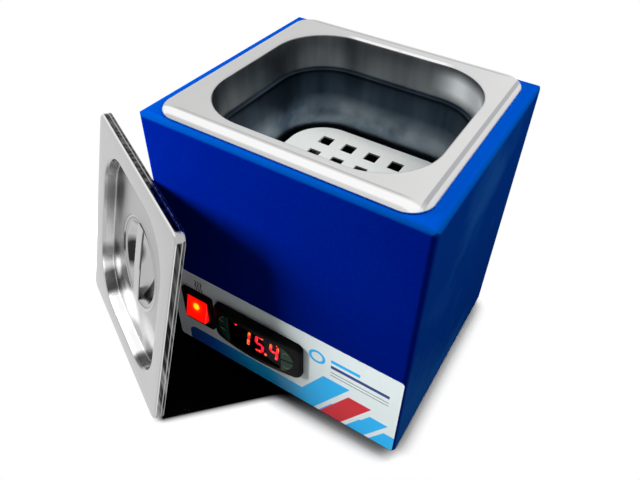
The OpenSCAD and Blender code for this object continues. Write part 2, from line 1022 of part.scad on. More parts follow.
// Bent strap round the probe, with a foot welded to the pan's wall on each side
module probe_clip() {
  color("silver")
    at_pan(probe_z + probe_l / 3)
      translate([probe_x, probe_y, 0]) {
        difference() {
          cylinder(r = clip_inner + clip_ring, h = clip_h_on_wall);
          translate([0, 0, -bite])
            cylinder(r = clip_inner, h = clip_h_on_wall + 2 * bite);
          translate([-2 * clip_inner, clip_inner - clip_ring, -bite])
            cube([4 * clip_inner, 2 * clip_inner, clip_h_on_wall + 2 * bite]);
        }
        for (side = [0, 1])
          mirror([side, 0, 0])
            translate([0.85 * clip_inner, clip_inner - clip_ring - slip, 0])
              cube([clip_foot, clip_ring + slip, clip_h_on_wall]);
      }
}

cutout_r = 8;
cutout_h = 7;

module thermal_cutout() {
  color("gray")
    at_pan(press_z - cutout_h)
      union() {
        cylinder(r = cutout_r, h = cutout_h);
        for (side = [-1, 1])
          translate([side * 4.5 - tab_t / 2, -tab_w / 2, -7])
            cube([tab_t, tab_w, 7 + bite]);
      }
}

// ---------- mains inlet ----------

inlet_body_w = 28;
inlet_body_h = 30;
inlet_deep = 23;
inlet_flange_t = 3;
inlet_screw_r = 1.5;
inlet_screw_x = inlet_w / 2 - 5;
socket_w = 24.2;
socket_h = 16.5;
socket_deep = 18;
socket_y = 5.5;
drawer_w = 24;
drawer_h = 8;
drawer_y = -10;
drawer_l = 20;
drawer_front_t = 1.5;

module inlet_screw_places() {
  for (side = [-1, 1])
    translate([side * inlet_screw_x, 0, 0])
      children();
}

module power_inlet() {
  color("black")
    on_rear(inlet_x, inlet_up)
      difference() {
        union() {
          slab(inlet_w, inlet_h, inlet_flange_t, 3);
          translate([0, 0, -inlet_deep])
            slab(inlet_body_w, inlet_body_h, inlet_deep, 1.2);
        }
        translate([0, socket_y, inlet_flange_t - socket_deep])
          slab(socket_w, socket_h, socket_deep + bite, 3);
        translate([0, drawer_y, inlet_flange_t - drawer_l - 0.6])
          slab(drawer_w, drawer_h, drawer_l + bite, 0.4);
        inlet_screw_places()
          cylinder(r = inlet_screw_r + slip, h = 4 * inlet_flange_t, center = true);
        pin_places()
          translate([0, 0, -inlet_deep])
            cube([pin_w + 2 * slip, pin_t + 2 * slip, 2 * inlet_deep], center = true);
      }
}

pin_w = 2;
pin_t = 4;
pin_l = 16;
tail_l = 8;
pin_back = inlet_deep - socket_deep + inlet_flange_t + tail_l;

module pin_places() {
  for (p = [[-7, -1.5], [0, 2], [7, -1.5]])
    translate([p[0], socket_y + p[1], inlet_flange_t - socket_deep])
      children();
}

module inlet_pins() {
  color("khaki")
    on_rear(inlet_x, inlet_up)
      pin_places() {
        translate([-pin_w / 2, -pin_t / 2, 0])
          cube([pin_w, pin_t, pin_l]);
        translate([-pin_w / 2, -pin_t / 2, -pin_back])
          cube([pin_w, pin_t, pin_back]);
      }
}

module inlet_screws() {
  color("silver")
    on_rear(inlet_x, inlet_up)
      inlet_screw_places()
        translate([0, 0, inlet_flange_t])
          rotate([180, 0, 0])
            screw(inlet_screw_r, inlet_flange_t + casing_t + screw_spare, 2.8, 1.8);
}

module inlet_nuts() {
  color("silver")
    on_rear(inlet_x, inlet_up)
      inlet_screw_places()
        translate([0, 0, -casing_t - 2.4])
          nut(3.2, 2.4, inlet_screw_r + slip);
}

fuse_r = 2.6;
fuse_l = 20;
fuse_cap_l = 5;

module fuse_drawer() {
  color("darkslategray")
    on_rear(inlet_x, inlet_up)
      difference() {
        union() {
          translate([0, drawer_y, inlet_flange_t - drawer_l])
            slab(drawer_w - 2 * seat, drawer_h - 2 * seat, drawer_l, 0.4);
          translate([0, drawer_y, inlet_flange_t])
            slab(drawer_w + 1, drawer_h + 1, drawer_front_t, 1);
        }
        translate([0, drawer_y + 1, inlet_flange_t - drawer_l / 2])
          cube([fuse_l + 1, drawer_h, 2 * fuse_r + 1], center = true);
      }
}

module fuse() {
  color("khaki")
    on_rear(inlet_x, inlet_up)
      translate([0, drawer_y - drawer_h / 2 + 1 + fuse_r + slip, inlet_flange_t - drawer_l / 2])
        rotate([0, 90, 0])
          union() {
            cylinder(r = fuse_r - 0.2, h = fuse_l - 1, center = true);
            for (side = [-1, 1])
              translate([0, 0, side * (fuse_l - fuse_cap_l) / 2])
                cylinder(r = fuse_r, h = fuse_cap_l, center = true);
          }
}

// ---------- terminals and leads ----------

block_in = 50;
block_x = casing_w / 2 - block_in;
block_y = 10;
block_w = 32;
block_d = 20;
block_h = 16;
block_pitch = 10;
block_bore = 2.4;
block_bore_z = foot_z + 6;
earth_in = 36;
earth_x = casing_w / 2 - earth_in;
earth_y = casing_d / 2 - earth_in;
earth_r = 2;
lead_r = 1.2;

module terminal_block() {
  color("ivory")
    difference() {
      translate([block_x, block_y, foot_z])
        slab(block_w, block_d, block_h, 1);
      for (k = [-1:1])
        translate([block_x + k * block_pitch, block_y, 0]) {
          translate([0, 0, block_bore_z])
            rotate([90, 0, 0])
              cylinder(r = block_bore, h = block_d + 2 * bite, center = true);
          for (side = [-1, 1])
            translate([0, side * 5, block_bore_z + 3])
              cylinder(r = 2, h = block_h);
        }
    }
}

module terminal_screws() {
  color("khaki")
    for (k = [-1:1], side = [-1, 1])
      translate([block_x + k * block_pitch, block_y + side * 5, block_bore_z + 3.2])
        cylinder(r = 1.8, h = 5);
}

module earth_stud() {
  color("khaki")
    translate([earth_x, earth_y, foot_h - 3])
      union() {
        cylinder(r = 3.5, h = 3);
        cylinder(r = earth_r, h = 3 + base_t + 14);
      }
}

module earth_nuts() {
  color("khaki")
    for (z = [foot_z, foot_z + nut_h + 3])
      translate([earth_x, earth_y, z])
        nut(nut_r, nut_h, earth_r + slip);
}

// Point between b and c on a smooth curve through a, b, c and d
function curve(a, b, c, d, t) =
  0.5 * (2 * b + (c - a) * t + (2 * a - 5 * b + 4 * c - d) * t * t + (3 * b - a - 3 * c + d) * t * t * t);

function smooth(p, steps) = [
  for (i = [0:len(p) - 2], s = [0:steps - 1])
    curve(p[max(i - 1, 0)], p[i], p[i + 1], p[min(i + 2, len(p) - 1)], s / steps),
  p[len(p) - 1]
];

function unit(v) = v / norm(v);

// Round lead of eight sides along a smooth curve through the points
module lead(points, steps = 5, r = lead_r) {
  path = smooth(points, steps);
  n = len(path);
  up = unit([0.31, 0.17, 0.13]);
  ring = [
    for (i = [0:n - 1])
      let (
        t = unit(path[min(i + 1, n - 1)] - path[max(i - 1, 0)]),
        u = unit(cross(t, up)),
        v = cross(t, u)
      )
      for (k = [0:7]) path[i] + r * (cos(45 * k) * u + sin(45 * k) * v)
  ];
  sides = [
    for (i = [0:n - 2], k = [0:7])
      let (a = i * 8 + k, b = i * 8 + (k + 1) % 8)
      [a, a + 8, b + 8, b]
  ];
  first = [for (k = [0:7]) k];
  last = [for (k = [7:-1:0]) (n - 1) * 8 + k];
  polyhedron(ring, concat([first, last], sides));
}

inlet_tab_y = rear_y - inlet_deep - tail_l + bite;
inlet_z = foot_z + inlet_up + socket_y;
switch_z = foot_z + switch_up;
switch_tab_y = front_y + switch_deep + tail_l;
strip_y = front_y + case_deep + strip_l;
strip_z = foot_z + control_up;

// Height and depths at which the leads cross the casing
loom_z = foot_z + 30;
loom_y = casing_d * 0.06;
loom_rear = rear_y * 0.53;

module live_lead() {
  color("saddlebrown")
    lead([
      [inlet_x + 7, inlet_tab_y - 1.5, inlet_z - 1.5],
      [inlet_x + 7, inlet_tab_y - 8, inlet_z - 1.5],
      [inlet_x - 12, loom_y, loom_z],
      [switch_x - 4, -2 * loom_y, loom_z + 10],
      [switch_x, switch_tab_y + 8, switch_z - 9],
      [switch_x, switch_tab_y + seat, switch_z - 9]
    ]);
}

module neutral_lead() {
  color("royalblue")
    lead([
      [inlet_x - 7, inlet_tab_y - 1.5, inlet_z - 1.5],
      [inlet_x - 7, inlet_tab_y - 8, inlet_z - 1.5],
      [inlet_x + 24, loom_rear - 6, loom_z - 6],
      [block_x - block_pitch - 16, block_y + block_d / 2 + 12, block_bore_z + 3],
      [block_x - block_pitch, block_y + block_d / 2 + 5, block_bore_z],
      [block_x - block_pitch, block_y + 6, block_bore_z]
    ]);
}

module earth_lead() {
  color("yellowgreen")
    lead([
      [inlet_x, inlet_tab_y - 1.5, inlet_z + 2],
      [inlet_x, inlet_tab_y - 9, inlet_z + 2],
      [inlet_x + 45, loom_rear, loom_z + 12],
      [earth_x - 21.5, loom_rear + 2, loom_z - 10],
      [earth_x - 11, earth_y, foot_z + nut_h + 1.5],
      [earth_x - earth_r - lead_r - slip, earth_y, foot_z + nut_h + 1.5]
    ]);
}

module heater_leads() {
  color("firebrick") {
    lead([
      [4.5 + lead_r + tab_t, pan_y, press_z - cutout_h - 3],
      [4.5 + lead_r + tab_t, pan_y, tray_z - 8],
      [20, pan_y - 2, loom_z + 30],
      [block_x - 4, block_y - block_d / 2 - 14, loom_z - 6],
      [block_x, block_y - block_d / 2 - 6, block_bore_z],
      [block_x, block_y - 6, block_bore_z]
    ]);
    lead([
      [-4.5 - lead_r - tab_t, pan_y, press_z - cutout_h - 3],
      [-4.5 - lead_r - tab_t, pan_y, tray_z - 8],
      [-8, pan_y - 2, tray_z - 19],
      [control_x + 12, strip_y + 14, strip_z + 4],
      [control_x + 2 * strip_pitch, strip_y + 6, strip_z],
      [control_x + 2 * strip_pitch, strip_y - 3, strip_z]
    ]);
  }
}

module probe_lead() {
  color("gray")
    lead([
      [probe_x, pan_y + probe_y, probe_z - 0.5],
      [probe_x, pan_y + probe_y, tray_z - 6],
      [probe_x + 4, strip_y - 20, (tray_z + strip_z) / 2],
      [control_x + case_w / 2 + 4, strip_y + 10, strip_z + 6],
      [control_x + 3 * strip_pitch, strip_y + 6, strip_z],
      [control_x + 3 * strip_pitch, strip_y - 3, strip_z]
    ]);
}

casing();
base_plate();
base_screws();
feet();
foot_screws();
foot_nuts();
pan();
pan_seal();
pan_studs();
stud_nuts();
false_bottom();
lid();
lid_handle();
front_label();
switch_housing();
switch_rocker();
switch_lamp();
switch_tabs();
controller_bezel();
controller_window();
display_block();
display_digits();
status_lamps();
key_upper_left();
key_lower_left();
key_upper_right();
key_lower_right();
controller_case();
controller_board();
controller_clips();
controller_terminals();
heater_mat();
heater_plate();
insulation_wrap();
insulation_pad();
insulation_tray();
temperature_probe();
probe_clip();
thermal_cutout();
power_inlet();
inlet_pins();
inlet_screws();
inlet_nuts();
fuse_drawer();
fuse();
terminal_block();
terminal_screws();
earth_stud();
earth_nuts();
live_lead();
neutral_lead();
earth_lead();
heater_leads();
probe_lead();
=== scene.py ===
# %% [markdown]
# # A small laboratory water bath
# The object is a blue sheet-steel casing with a stainless pan let into its top, a loose lid that
# leans on one corner, a lit rocker switch and a panel temperature controller. The solids come from
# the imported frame, which fixes every size and joint. This script gives them their looks: the pieces
# that show get finer meshes, and every piece gets a material made of nodes.

# %% Open the frame and keep its box
import math

import bmesh
import bpy
from mathutils import Matrix, Vector


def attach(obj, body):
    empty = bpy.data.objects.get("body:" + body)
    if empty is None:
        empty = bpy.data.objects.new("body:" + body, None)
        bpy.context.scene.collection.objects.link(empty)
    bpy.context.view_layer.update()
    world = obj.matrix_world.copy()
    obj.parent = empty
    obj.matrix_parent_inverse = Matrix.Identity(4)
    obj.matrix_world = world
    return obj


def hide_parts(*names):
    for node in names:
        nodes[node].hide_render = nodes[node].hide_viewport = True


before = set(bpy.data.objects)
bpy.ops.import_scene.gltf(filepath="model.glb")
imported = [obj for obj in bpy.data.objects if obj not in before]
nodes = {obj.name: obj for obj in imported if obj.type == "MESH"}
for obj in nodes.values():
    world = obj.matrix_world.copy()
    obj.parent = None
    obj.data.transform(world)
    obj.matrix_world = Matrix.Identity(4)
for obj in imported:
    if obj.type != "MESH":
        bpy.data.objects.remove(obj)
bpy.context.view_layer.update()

# %% [markdown]
# The sizes below are the real ones, in millimetres. Lengths in Blender are metres, so `MM` turns
# one into the other where a mesh is built.

# %% Sizes of the real object
MM = 0.001
FOOT_Z = 10.0
CASING_W, CASING_D, CASING_H, CASING_R = 195.0, 174.0, 210.0, 4.0
CASING_TOP = FOOT_Z + CASING_H
LABEL_T = 0.3
FRONT_Y = -CASING_D / 2 - LABEL_T
PAN_Y = -1.0
FLANGE_TOP = CASING_TOP + 4.0
LID_W, LID_L = 160.0, 174.0
SWITCH_X, SWITCH_Z = -71.2, FOOT_Z + 48.3
CONTROL_X, CONTROL_Z = -15.8, FOOT_Z + 49.6
print("casing top at", CASING_TOP, "mm, flange top at", FLANGE_TOP, "mm")

# %% [markdown]
# ## Shader sums as plain Python
# A node tree for a finish is mostly arithmetic. It could be wired by hand, but Math nodes hide the
# sum that they stand for. So one small class wraps an output socket and overloads the operators:
# `1 - mask * 0.3` adds its nodes itself.

# %% A socket that can be added, scaled and compared
class Reading:
    """One output socket of a finish's node tree."""

    def __init__(self, finish, socket):
        self.finish = finish
        self.socket = socket

    def sum(self, operation, *others):
        return self.finish.add("ShaderNodeMath", {"operation": operation}, dict(enumerate(others)))

    def __add__(self, other):
        return self.sum("ADD", self, other)

    def __radd__(self, other):
        return self.sum("ADD", other, self)

    def __sub__(self, other):
        return self.sum("SUBTRACT", self, other)

    def __rsub__(self, other):
        return self.sum("SUBTRACT", other, self)

    def __mul__(self, other):
        return self.sum("MULTIPLY", self, other)

    def __rmul__(self, other):
        return self.sum("MULTIPLY", other, self)

    def __truediv__(self, other):
        return self.sum("DIVIDE", self, other)

    def __lt__(self, other):
        return self.sum("LESS_THAN", self, other)

    def __abs__(self):
        return self.sum("ABSOLUTE", self)

    def at_least(self, other):
        return self.sum("MAXIMUM", self, other)

    def at_most(self, other):
        return self.sum("MINIMUM", self, other)

    def wave(self):
        return self.sum("SINE", self)

    def root(self):
        return self.sum("SQRT", self)


def band(reading, low, high, soft):
    """1 between low and high, 0 outside, with edges as wide as soft."""
    rise = ((reading - low) / soft + 0.5).at_least(0.0).at_most(1.0)
    fall = ((high - reading) / soft + 0.5).at_least(0.0).at_most(1.0)
    return rise * fall


def strongest(*masks):
    """The highest of several masks at each point."""
    highest = masks[0]
    for mask in masks[1:]:
        highest = highest.at_least(mask)
    return highest


def distance(across, along):
    """Distance from the point where both readings are 0."""
    return (across * across + along * along).root()


FAR = 9000.0
print("sums ready; a band up to", FAR, "has no upper end")

# %% [markdown]
# A tint is easiest to judge as it looks on screen, from 0 to 255, but shaders count in linear light.
# Blender's colour picker converts silently; in a script one function has to.

# %% Colours
def rgb(red, green, blue):
    """Linear colour of a tint given as it looks on screen, 0 to 255."""
    screen = [level / 255 for level in (red, green, blue)]
    linear = [c / 12.92 if c < 0.04045 else ((c + 0.055) / 1.055) ** 2.4 for c in screen]
    return (*linear, 1.0)


def grey(level):
    return rgb(level, level, level)


print("mid grey on screen is", round(grey(128)[0], 3), "in linear light")

# %% [markdown]
# `Finish` holds one node tree: a material's, or the world's. Its one method `add` makes any node:
# the node's type, its settings, which are set first because they can change the sockets, and then
# what goes into the sockets. The other methods are short names for the nodes used most.

# %% One material and its nodes
def find_socket(sockets, key):
    """The socket with that number, or the one in use that has that name."""
    if isinstance(key, int):
        return sockets[key]
    return next(s for s in sockets if s.name == key and s.enabled)


class Finish:
    """A material, or the world, whose nodes are added by plain calls."""

    def __init__(self, name, world=None):
        self.owner = world or bpy.data.materials.new(name)
        self.owner.use_nodes = True
        self.tree = self.owner.node_tree
        self.tree.nodes.clear()
        self.output = self.tree.nodes.new(f"ShaderNodeOutput{'World' if world else 'Material'}")

    def add(self, kind, settings=None, inputs=None, take=None):
        """One node and the output taken from it: the first in use, or the one named or numbered."""
        node = self.tree.nodes.new(kind)
        for key, value in (settings or {}).items():
            setattr(node, key, value)
        for key, value in (inputs or {}).items():
            socket = find_socket(node.inputs, key)
            if isinstance(value, Reading):
                self.tree.links.new(value.socket, socket)
            else:
                socket.default_value = value
        if take is None:
            return Reading(self, next(s for s in node.outputs if s.enabled))
        return Reading(self, find_socket(node.outputs, take))

    def place(self):
        """X, Y and Z of the point being shaded, in millimetres."""
        where = self.add("ShaderNodeTexCoord", take="Object")
        split = self.add("ShaderNodeSeparateXYZ", {}, {0: where}).socket.node
        return [Reading(self, axis) / MM for axis in split.outputs]

    def noise(self, scale, detail=3.0, roughness=0.5, stretch=(1.0, 1.0, 1.0)):
        """Noise from 0 to 1, in bumps per metre. A stretch below 1 draws it out along that axis."""
        where = self.add("ShaderNodeTexCoord", take="Object")
        where = self.add("ShaderNodeMapping", {}, {"Vector": where, "Scale": stretch})
        look = {"Vector": where, "Scale": scale, "Detail": detail, "Roughness": roughness}
        return self.add("ShaderNodeTexNoise", {}, look)

    def mix(self, mask, first, second):
        """First colour where the mask is 0, second colour where it is 1."""
        colours = {"Factor": mask, "A": first, "B": second}
        return self.add("ShaderNodeMix", {"data_type": "RGBA"}, colours, take=2)

    def blend(self, mask, first, second):
        """First shader where the mask is 0, second shader where it is 1."""
        return self.add("ShaderNodeMixShader", {}, {0: mask, 1: first, 2: second})

    def bump(self, height, depth_mm):
        """Normal for a height from 0 to 1 that stands depth_mm proud at 1."""
        return self.add("ShaderNodeBump", {}, {"Height": height, "Distance": depth_mm * MM})

    def show(self, shader):
        """Links a shader to the output and gives back the finished material or world."""
        self.tree.links.new(shader.socket, self.output.inputs["Surface"])
        print(f"{self.owner.name}: {len(self.tree.nodes)} nodes")
        return self.owner

    def surface(self, **inputs):
        """The Principled shader, by socket names with _ for a space."""
        named = {key.replace("_", " "): value for key, value in inputs.items()}
        return self.show(self.add("ShaderNodeBsdfPrincipled", {}, named))


print("shader tools ready")

# %% [markdown]
# ## Meshes from rings
# Pressed and folded sheet is easiest to build as a stack of rings: each ring is a rounded rectangle
# or a circle with the same number of points, and neighbouring rings are joined by quads. A fillet is
# then only a few rings close together, and its size is exact, which a subdivision surface is not.

# %% Rings and the skin between them
CORNER_STEPS, SIDE_STEPS = 16, 10


def rounded_ring(half_x, half_y, radius, z, corner=CORNER_STEPS, side=SIDE_STEPS):
    """Points of a rounded rectangle, anticlockwise from the lower end of the right side."""
    radius = max(min(radius, half_x, half_y), 0.01)
    points = []
    for quarter, (sx, sy) in enumerate([(1, 1), (-1, 1), (-1, -1), (1, -1)]):
        cx, cy = sx * (half_x - radius), sy * (half_y - radius)
        arc = []
        for k in range(corner + 1):
            turn = math.pi / 2 * (quarter + k / corner)
            arc.append(Vector((cx + radius * math.cos(turn), cy + radius * math.sin(turn), z)))
        if points:
            points += [points[-1].lerp(arc[0], k / side) for k in range(1, side)]
        points += arc
    points += [points[-1].lerp(points[0], k / side) for k in range(1, side)]
    return points


def round_ring(radius, z, like):
    """Circle whose points lie in the directions of another ring's points."""
    turns = [math.atan2(p.y, p.x) for p in like]
    return [Vector((radius * math.cos(t), radius * math.sin(t), z)) for t in turns]


print("a ring has", len(rounded_ring(20.0, 20.0, 5.0, 0.0)), "points")

# %% [markdown]
# The skin joins each ring to the next. Smooth shading everywhere would smear light over the real
# edges, so faces that meet at a wide angle are marked sharp. Sheet gets its thickness afterwards,
# from a modifier, which keeps the section a single line.

# %% The skin, its edges and its thickness
def skin(name, rings, start="open", end="open"):
    """Mesh over a stack of rings in millimetres, whose start and end are open or have a flat cap."""
    mesh = bmesh.new()
    rows = [[mesh.verts.new(p * MM) for p in ring] for ring in rings]
    for low, high in zip(rows, rows[1:]):
        count = len(low)
        for k in range(count):
            mesh.faces.new((low[k], low[(k + 1) % count], high[(k + 1) % count], high[k]))
    if start == "cap":
        mesh.faces.new(list(reversed(rows[0])))
    if end == "cap":
        mesh.faces.new(rows[-1])
    return finish_mesh(name, mesh)


def finish_mesh(name, mesh, smooth_below=38.0):
    """Turns a bmesh into an object with smooth fillets and crisp edges."""
    bmesh.ops.remove_doubles(mesh, verts=mesh.verts, dist=1e-7)
    bmesh.ops.recalc_face_normals(mesh, faces=mesh.faces)
    data = bpy.data.meshes.new(name)
    mesh.to_mesh(data)
    mesh.free()
    data.polygons.foreach_set("use_smooth", [True] * len(data.polygons))
    data.set_sharp_from_angle(angle=math.radians(smooth_below))
    piece = bpy.data.objects.new(name, data)
    bpy.context.scene.collection.objects.link(piece)
    return piece


def fold_sheet(piece, thickness):
    """Thickens a skin inwards into a sheet of so many millimetres."""
    sheet = piece.modifiers.new("sheet", "SOLIDIFY")
    sheet.thickness = thickness * MM
    sheet.offset = -1


# Gap that keeps two touching faces from showing through each other, in millimetres.
HAIR = 0.02


def fillet(start, corner, end, steps=6):
    """Points of a smooth curve from start to end that is drawn towards a corner."""
    curve = []
    for k in range(steps + 1):
        t = k / steps
        pull = ((1 - t) ** 2, 2 * t * (1 - t), t * t)
        curve.append(tuple(sum(p * q for p, q in zip(pull, row)) for row in zip(start, corner, end)))
    return curve


print("a fillet of 6 steps has", len(fillet((0.0,), (1.0,), (1.0,))), "rings")

# %% [markdown]
# A finished piece is dressed: it gets its material, rides on the body that moves it, names the
# frame's solids that it stands for, so those are hidden.

# %% Dress a piece
def dress(piece, material, body="base", *, instead_of=()):
    """Gives a piece its material, its body, and the nodes that it stands for."""
    piece.data.transform(piece.matrix_world)
    piece.matrix_world = Matrix()
    piece.data.materials.clear()
    piece.data.materials.append(material)
    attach(piece, body)
    if instead_of:
        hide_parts(*instead_of)
    print(f"{piece.name}: {len(piece.data.polygons)} faces on {body}")


print("pieces can be dressed")

# %% [markdown]
# ## Finishes
# The casing has a blue powder coat. A glossy layer would mirror the white surround and wash the deep
# blue out, so the shader's specular level is nil, and the tints carry the rest: painted light makes
# the coat lighter on the top, a painted highlight lies over the bends, and the two flanks carry a
# cloudy, greener painted sheen. A few brighter specks of flake and an orange-peel bump keep it from
# looking like flat plastic.

# %% Blue powder coat
def make_powder_coat():
    coat = Finish("blue_powder_coat")
    x, y, z = coat.place()
    grain = coat.noise(1500.0, 4.0, 0.65)
    peel = coat.noise(420.0, 2.0)
    cloud = coat.noise(14.0, 3.0)
    sides = coat.mix(cloud, rgb(0, 17, 110), rgb(0, 25, 120))
    # Painted light: the bends carry a painted highlight and the top a lighter painted tint.
    painted_bend_highlight = coat.mix(cloud, rgb(0, 55, 130), rgb(0, 63, 137))
    top = coat.mix(cloud, rgb(0, 56, 146), rgb(0, 64, 154))
    # The flanks carry a cloudy, greener painted sheen.
    painted_flank_sheen = coat.mix(band(cloud, 0.52, FAR, 0.2), rgb(2, 42, 112), rgb(16, 62, 124))
    sides = coat.mix(band(abs(x), CASING_W / 2 - 0.6, FAR, 0.8), sides, painted_flank_sheen)
    colour = coat.mix(band(z, CASING_TOP - 3.2, FAR, 1.4), sides, painted_bend_highlight)
    colour = coat.mix(band(z, CASING_TOP - 0.6, FAR, 0.7), colour, top)
    speck = band(grain, 0.63, FAR, 0.05) * 0.2
    colour = coat.mix(speck, colour, rgb(10, 70, 190))
    return coat.surface(
        Base_Color=colour,
        Roughness=0.4 + cloud * 0.06 + grain * 0.08,
        Specular_IOR_Level=0.0,
        Normal=coat.bump(grain * 0.4 + peel * 0.6, 0.16),
    )


powder_coat = make_powder_coat()

# %% [markdown]
# Drawn stainless steel has fine marks from rolling and from polishing. They run one way, so the
# noise is stretched, and they change the roughness more than the height. Screws, nuts, sheet parts
# and brass share one plain function.

# %% Plain metals
def make_steel(name, dark, light, rough):
    steel = Finish(name)
    grain = steel.noise(420.0, 4.0, 0.6, (1.0, 14.0, 1.0))
    cloud = steel.noise(22.0, 3.0)
    return steel.surface(
        Base_Color=steel.mix(cloud * 0.6 + grain * 0.4, dark, light),
        Metallic=1.0,
        Roughness=rough + grain * 0.1 + cloud * 0.05,
        Normal=steel.bump(grain, 0.004),
    )


fastener_steel = make_steel("fastener_steel", rgb(150, 152, 155), rgb(188, 190, 192), 0.3)
zinc_sheet = make_steel("zinc_sheet", rgb(168, 171, 174), rgb(196, 199, 202), 0.42)
brass = make_steel("brass_parts", rgb(176, 140, 74), rgb(206, 172, 100), 0.3)

# %% [markdown]
# The flange, the well and the false bottom differ in finish, so each has a function of its own. In
# an even white surround polished steel has little to mirror. A room of cards and lamps could be
# built for it, but the part has to look right anywhere, so the light and dark strips of a real room
# are painted reflections in the base colour, tied to the shape: a painted highlight where the lip
# rolls over and along the mouth's rear edge, painted dull lines just inside the front and rear lips,
# painted shade along the fold at the right side, and a painted sweep from darker at the left to
# lighter at the right.

# %% Brushed steel of the flange
LIP_FRONT, LIP_REAR = -81.6, 77.2


def make_flange_steel():
    steel = Finish("flange_stainless")
    x, y, z = steel.place()
    across = y - PAN_Y
    grain = steel.noise(420.0, 4.0, 0.6, (1.0, 14.0, 1.0))
    cloud = steel.noise(22.0, 3.0)
    # The sweep from darker at the left to lighter at the right is a painted reflection.
    plain = steel.mix(band(x, 0.0, FAR, 160.0), rgb(205, 205, 204), rgb(228, 228, 227))
    colour = steel.mix(cloud * 0.25 + grain * 0.25, plain, rgb(194, 194, 194))
    straight = band(abs(x), -1.0, 76.0, 8.0)
    # Painted reflections: dull lines inside the lips, highlights on the front lip and the mouth's rear
    # edge, shade along the right fold.
    painted_dull_reflection = band(across, -75.8, -74.6, 0.5).at_least(band(across, 75.6, LIP_REAR, 0.6)) * straight
    painted_mouth_highlight = band(across, 68.4, 70.2, 0.5) * band(abs(x), -1.0, 38.0, 8.0)
    bright = band(across, LIP_FRONT, -77.0, 0.8).at_least(painted_mouth_highlight)
    painted_fold_shade = band(x, 83.2, 85.7, 0.5) * band(across, -76.0, FAR, 6.0)
    colour = steel.mix(painted_dull_reflection * 0.8, colour, rgb(176, 177, 178))
    colour = steel.mix(bright * 0.9, colour, rgb(252, 252, 252))
    colour = steel.mix(painted_fold_shade, colour, rgb(176, 177, 180))
    return steel.surface(
        Base_Color=colour,
        Metallic=1.0,
        Roughness=0.3 + grain * 0.1 + cloud * 0.05,
        Normal=steel.bump(grain, 0.004),
    )


flange_steel = make_flange_steel()

# %% [markdown]
# The false bottom is blasted, so matt that it shows hardly any mirror image. A shader that is only
# partly metallic gives that plain white light.

# %% Blasted steel of the false bottom
def make_plate_steel():
    steel = Finish("false_bottom_stainless")
    grain = steel.noise(900.0, 3.0)
    return steel.surface(
        Base_Color=steel.mix(grain, rgb(216, 220, 217), rgb(230, 233, 230)),
        Metallic=0.35,
        Roughness=0.5 + grain * 0.1,
        Normal=steel.bump(grain, 0.004),
    )


plate_steel = make_plate_steel()

# %% [markdown]
# The well is satin steel. Its drawn marks run down the wall. Its colour carries painted reflections:
# light and dark streaks down the wall, a much darker tint below the stacking shoulder, where it
# mirrors mostly itself, with a painted shade line just under the shoulder and a paler painted haze
# low down, and a painted highlight in the rear right corner above the shoulder.

# %% Satin steel of the well
SHOULDER_DOWN = 25.2


def make_well_steel():
    steel = Finish("well_stainless")
    x, y, z = steel.place()
    down = FLANGE_TOP - z
    streak = steel.noise(34.0, 3.0, 0.5, (1.0, 1.0, 0.12))
    grain = steel.noise(520.0, 4.0, 0.6, (1.0, 1.0, 0.2))
    cloud = steel.noise(24.0, 4.0, 0.6)
    tone = (streak * 2.4 - 0.75).at_least(0.0).at_most(1.0)
    # The streaked tone above and the darker tint below the shoulder are painted reflections.
    upper = steel.mix(tone, rgb(84, 88, 93), rgb(170, 174, 178))
    lower = steel.mix(tone, rgb(30, 42, 54), rgb(70, 84, 98))
    haze = steel.mix(band(cloud, 0.5, FAR, 0.3), rgb(74, 92, 110), rgb(150, 160, 168))
    # Painted highlight in the rear right corner above the shoulder.
    painted_corner_highlight = band(x * 0.66 + y * 0.75, 74.0, 88.0, 12.0) * band(down, 5.0, 22.0, 8.0)
    upper = steel.mix(painted_corner_highlight, upper, rgb(214, 218, 220))
    # Paler painted haze low down.
    lower = steel.mix(band(down, 52.0, 78.0, 14.0) * 0.7, lower, haze)
    # Painted shade: a dark line just under the shoulder.
    lower = steel.mix(band(down, 26.0, 29.0, 2.0) * 0.75, lower, rgb(14, 18, 24))
    return steel.surface(
        Base_Color=steel.mix(band(down, SHOULDER_DOWN, FAR, 0.8), upper, lower),
        Metallic=1.0 - painted_corner_highlight * 0.4,
        Roughness=0.22 + grain * 0.12 + cloud * 0.08,
        Normal=steel.bump(grain, 0.006),
    )


well_steel = make_well_steel()

# %% [markdown]
# Moulded parts have a fine spark-eroded grain. It is a bump of a few hundredths of a millimetre,
# and the same noise roughens the sheen a little.

# %% Plastics, rubber and leads
def make_plastic(name, colour, rough=0.42, grain_mm=0.02, size=700.0, paler_share=0.12, shine=0.5):
    plastic = Finish(name)
    grain = plastic.noise(size, 3.0)
    cloud = plastic.noise(30.0, 2.0)
    lighter = tuple(min(c * (1 + paler_share) + 0.004, 1.0) for c in colour[:3]) + (1.0,)
    return plastic.surface(
        Base_Color=plastic.mix(cloud, colour, lighter),
        Roughness=rough + grain * 0.12,
        Specular_IOR_Level=shine,
        Normal=plastic.bump(grain, grain_mm),
    )


black_plastic = make_plastic("black_plastic", rgb(3, 4, 4), 0.34, shine=0.03)
foot_rubber = make_plastic("foot_rubber", rgb(22, 22, 23), 0.7, 0.05)
seal_rubber = make_plastic("grey_sealant", rgb(150, 152, 156), 0.45, 0.06)

# %% [markdown]
# ## The pan
# A gastronorm pan is drawn from one sheet: a flat flange with a turned-down lip, a mouth with a
# rolled edge, a shoulder that lets pans stack, and a well that tapers a little. Each step of that
# section is one ring, given as half width, half depth, corner radius and height.

# %% Section of the pan and its mesh
LIP_X, LIP_Y, LIP_R = 82.1, 76.7, 8.5
LIP_W, LIP_H, LIP_STEPS = 5.5, 3.48, 8
MOUTH_X, MOUTH_Y = 78.0, 72.0


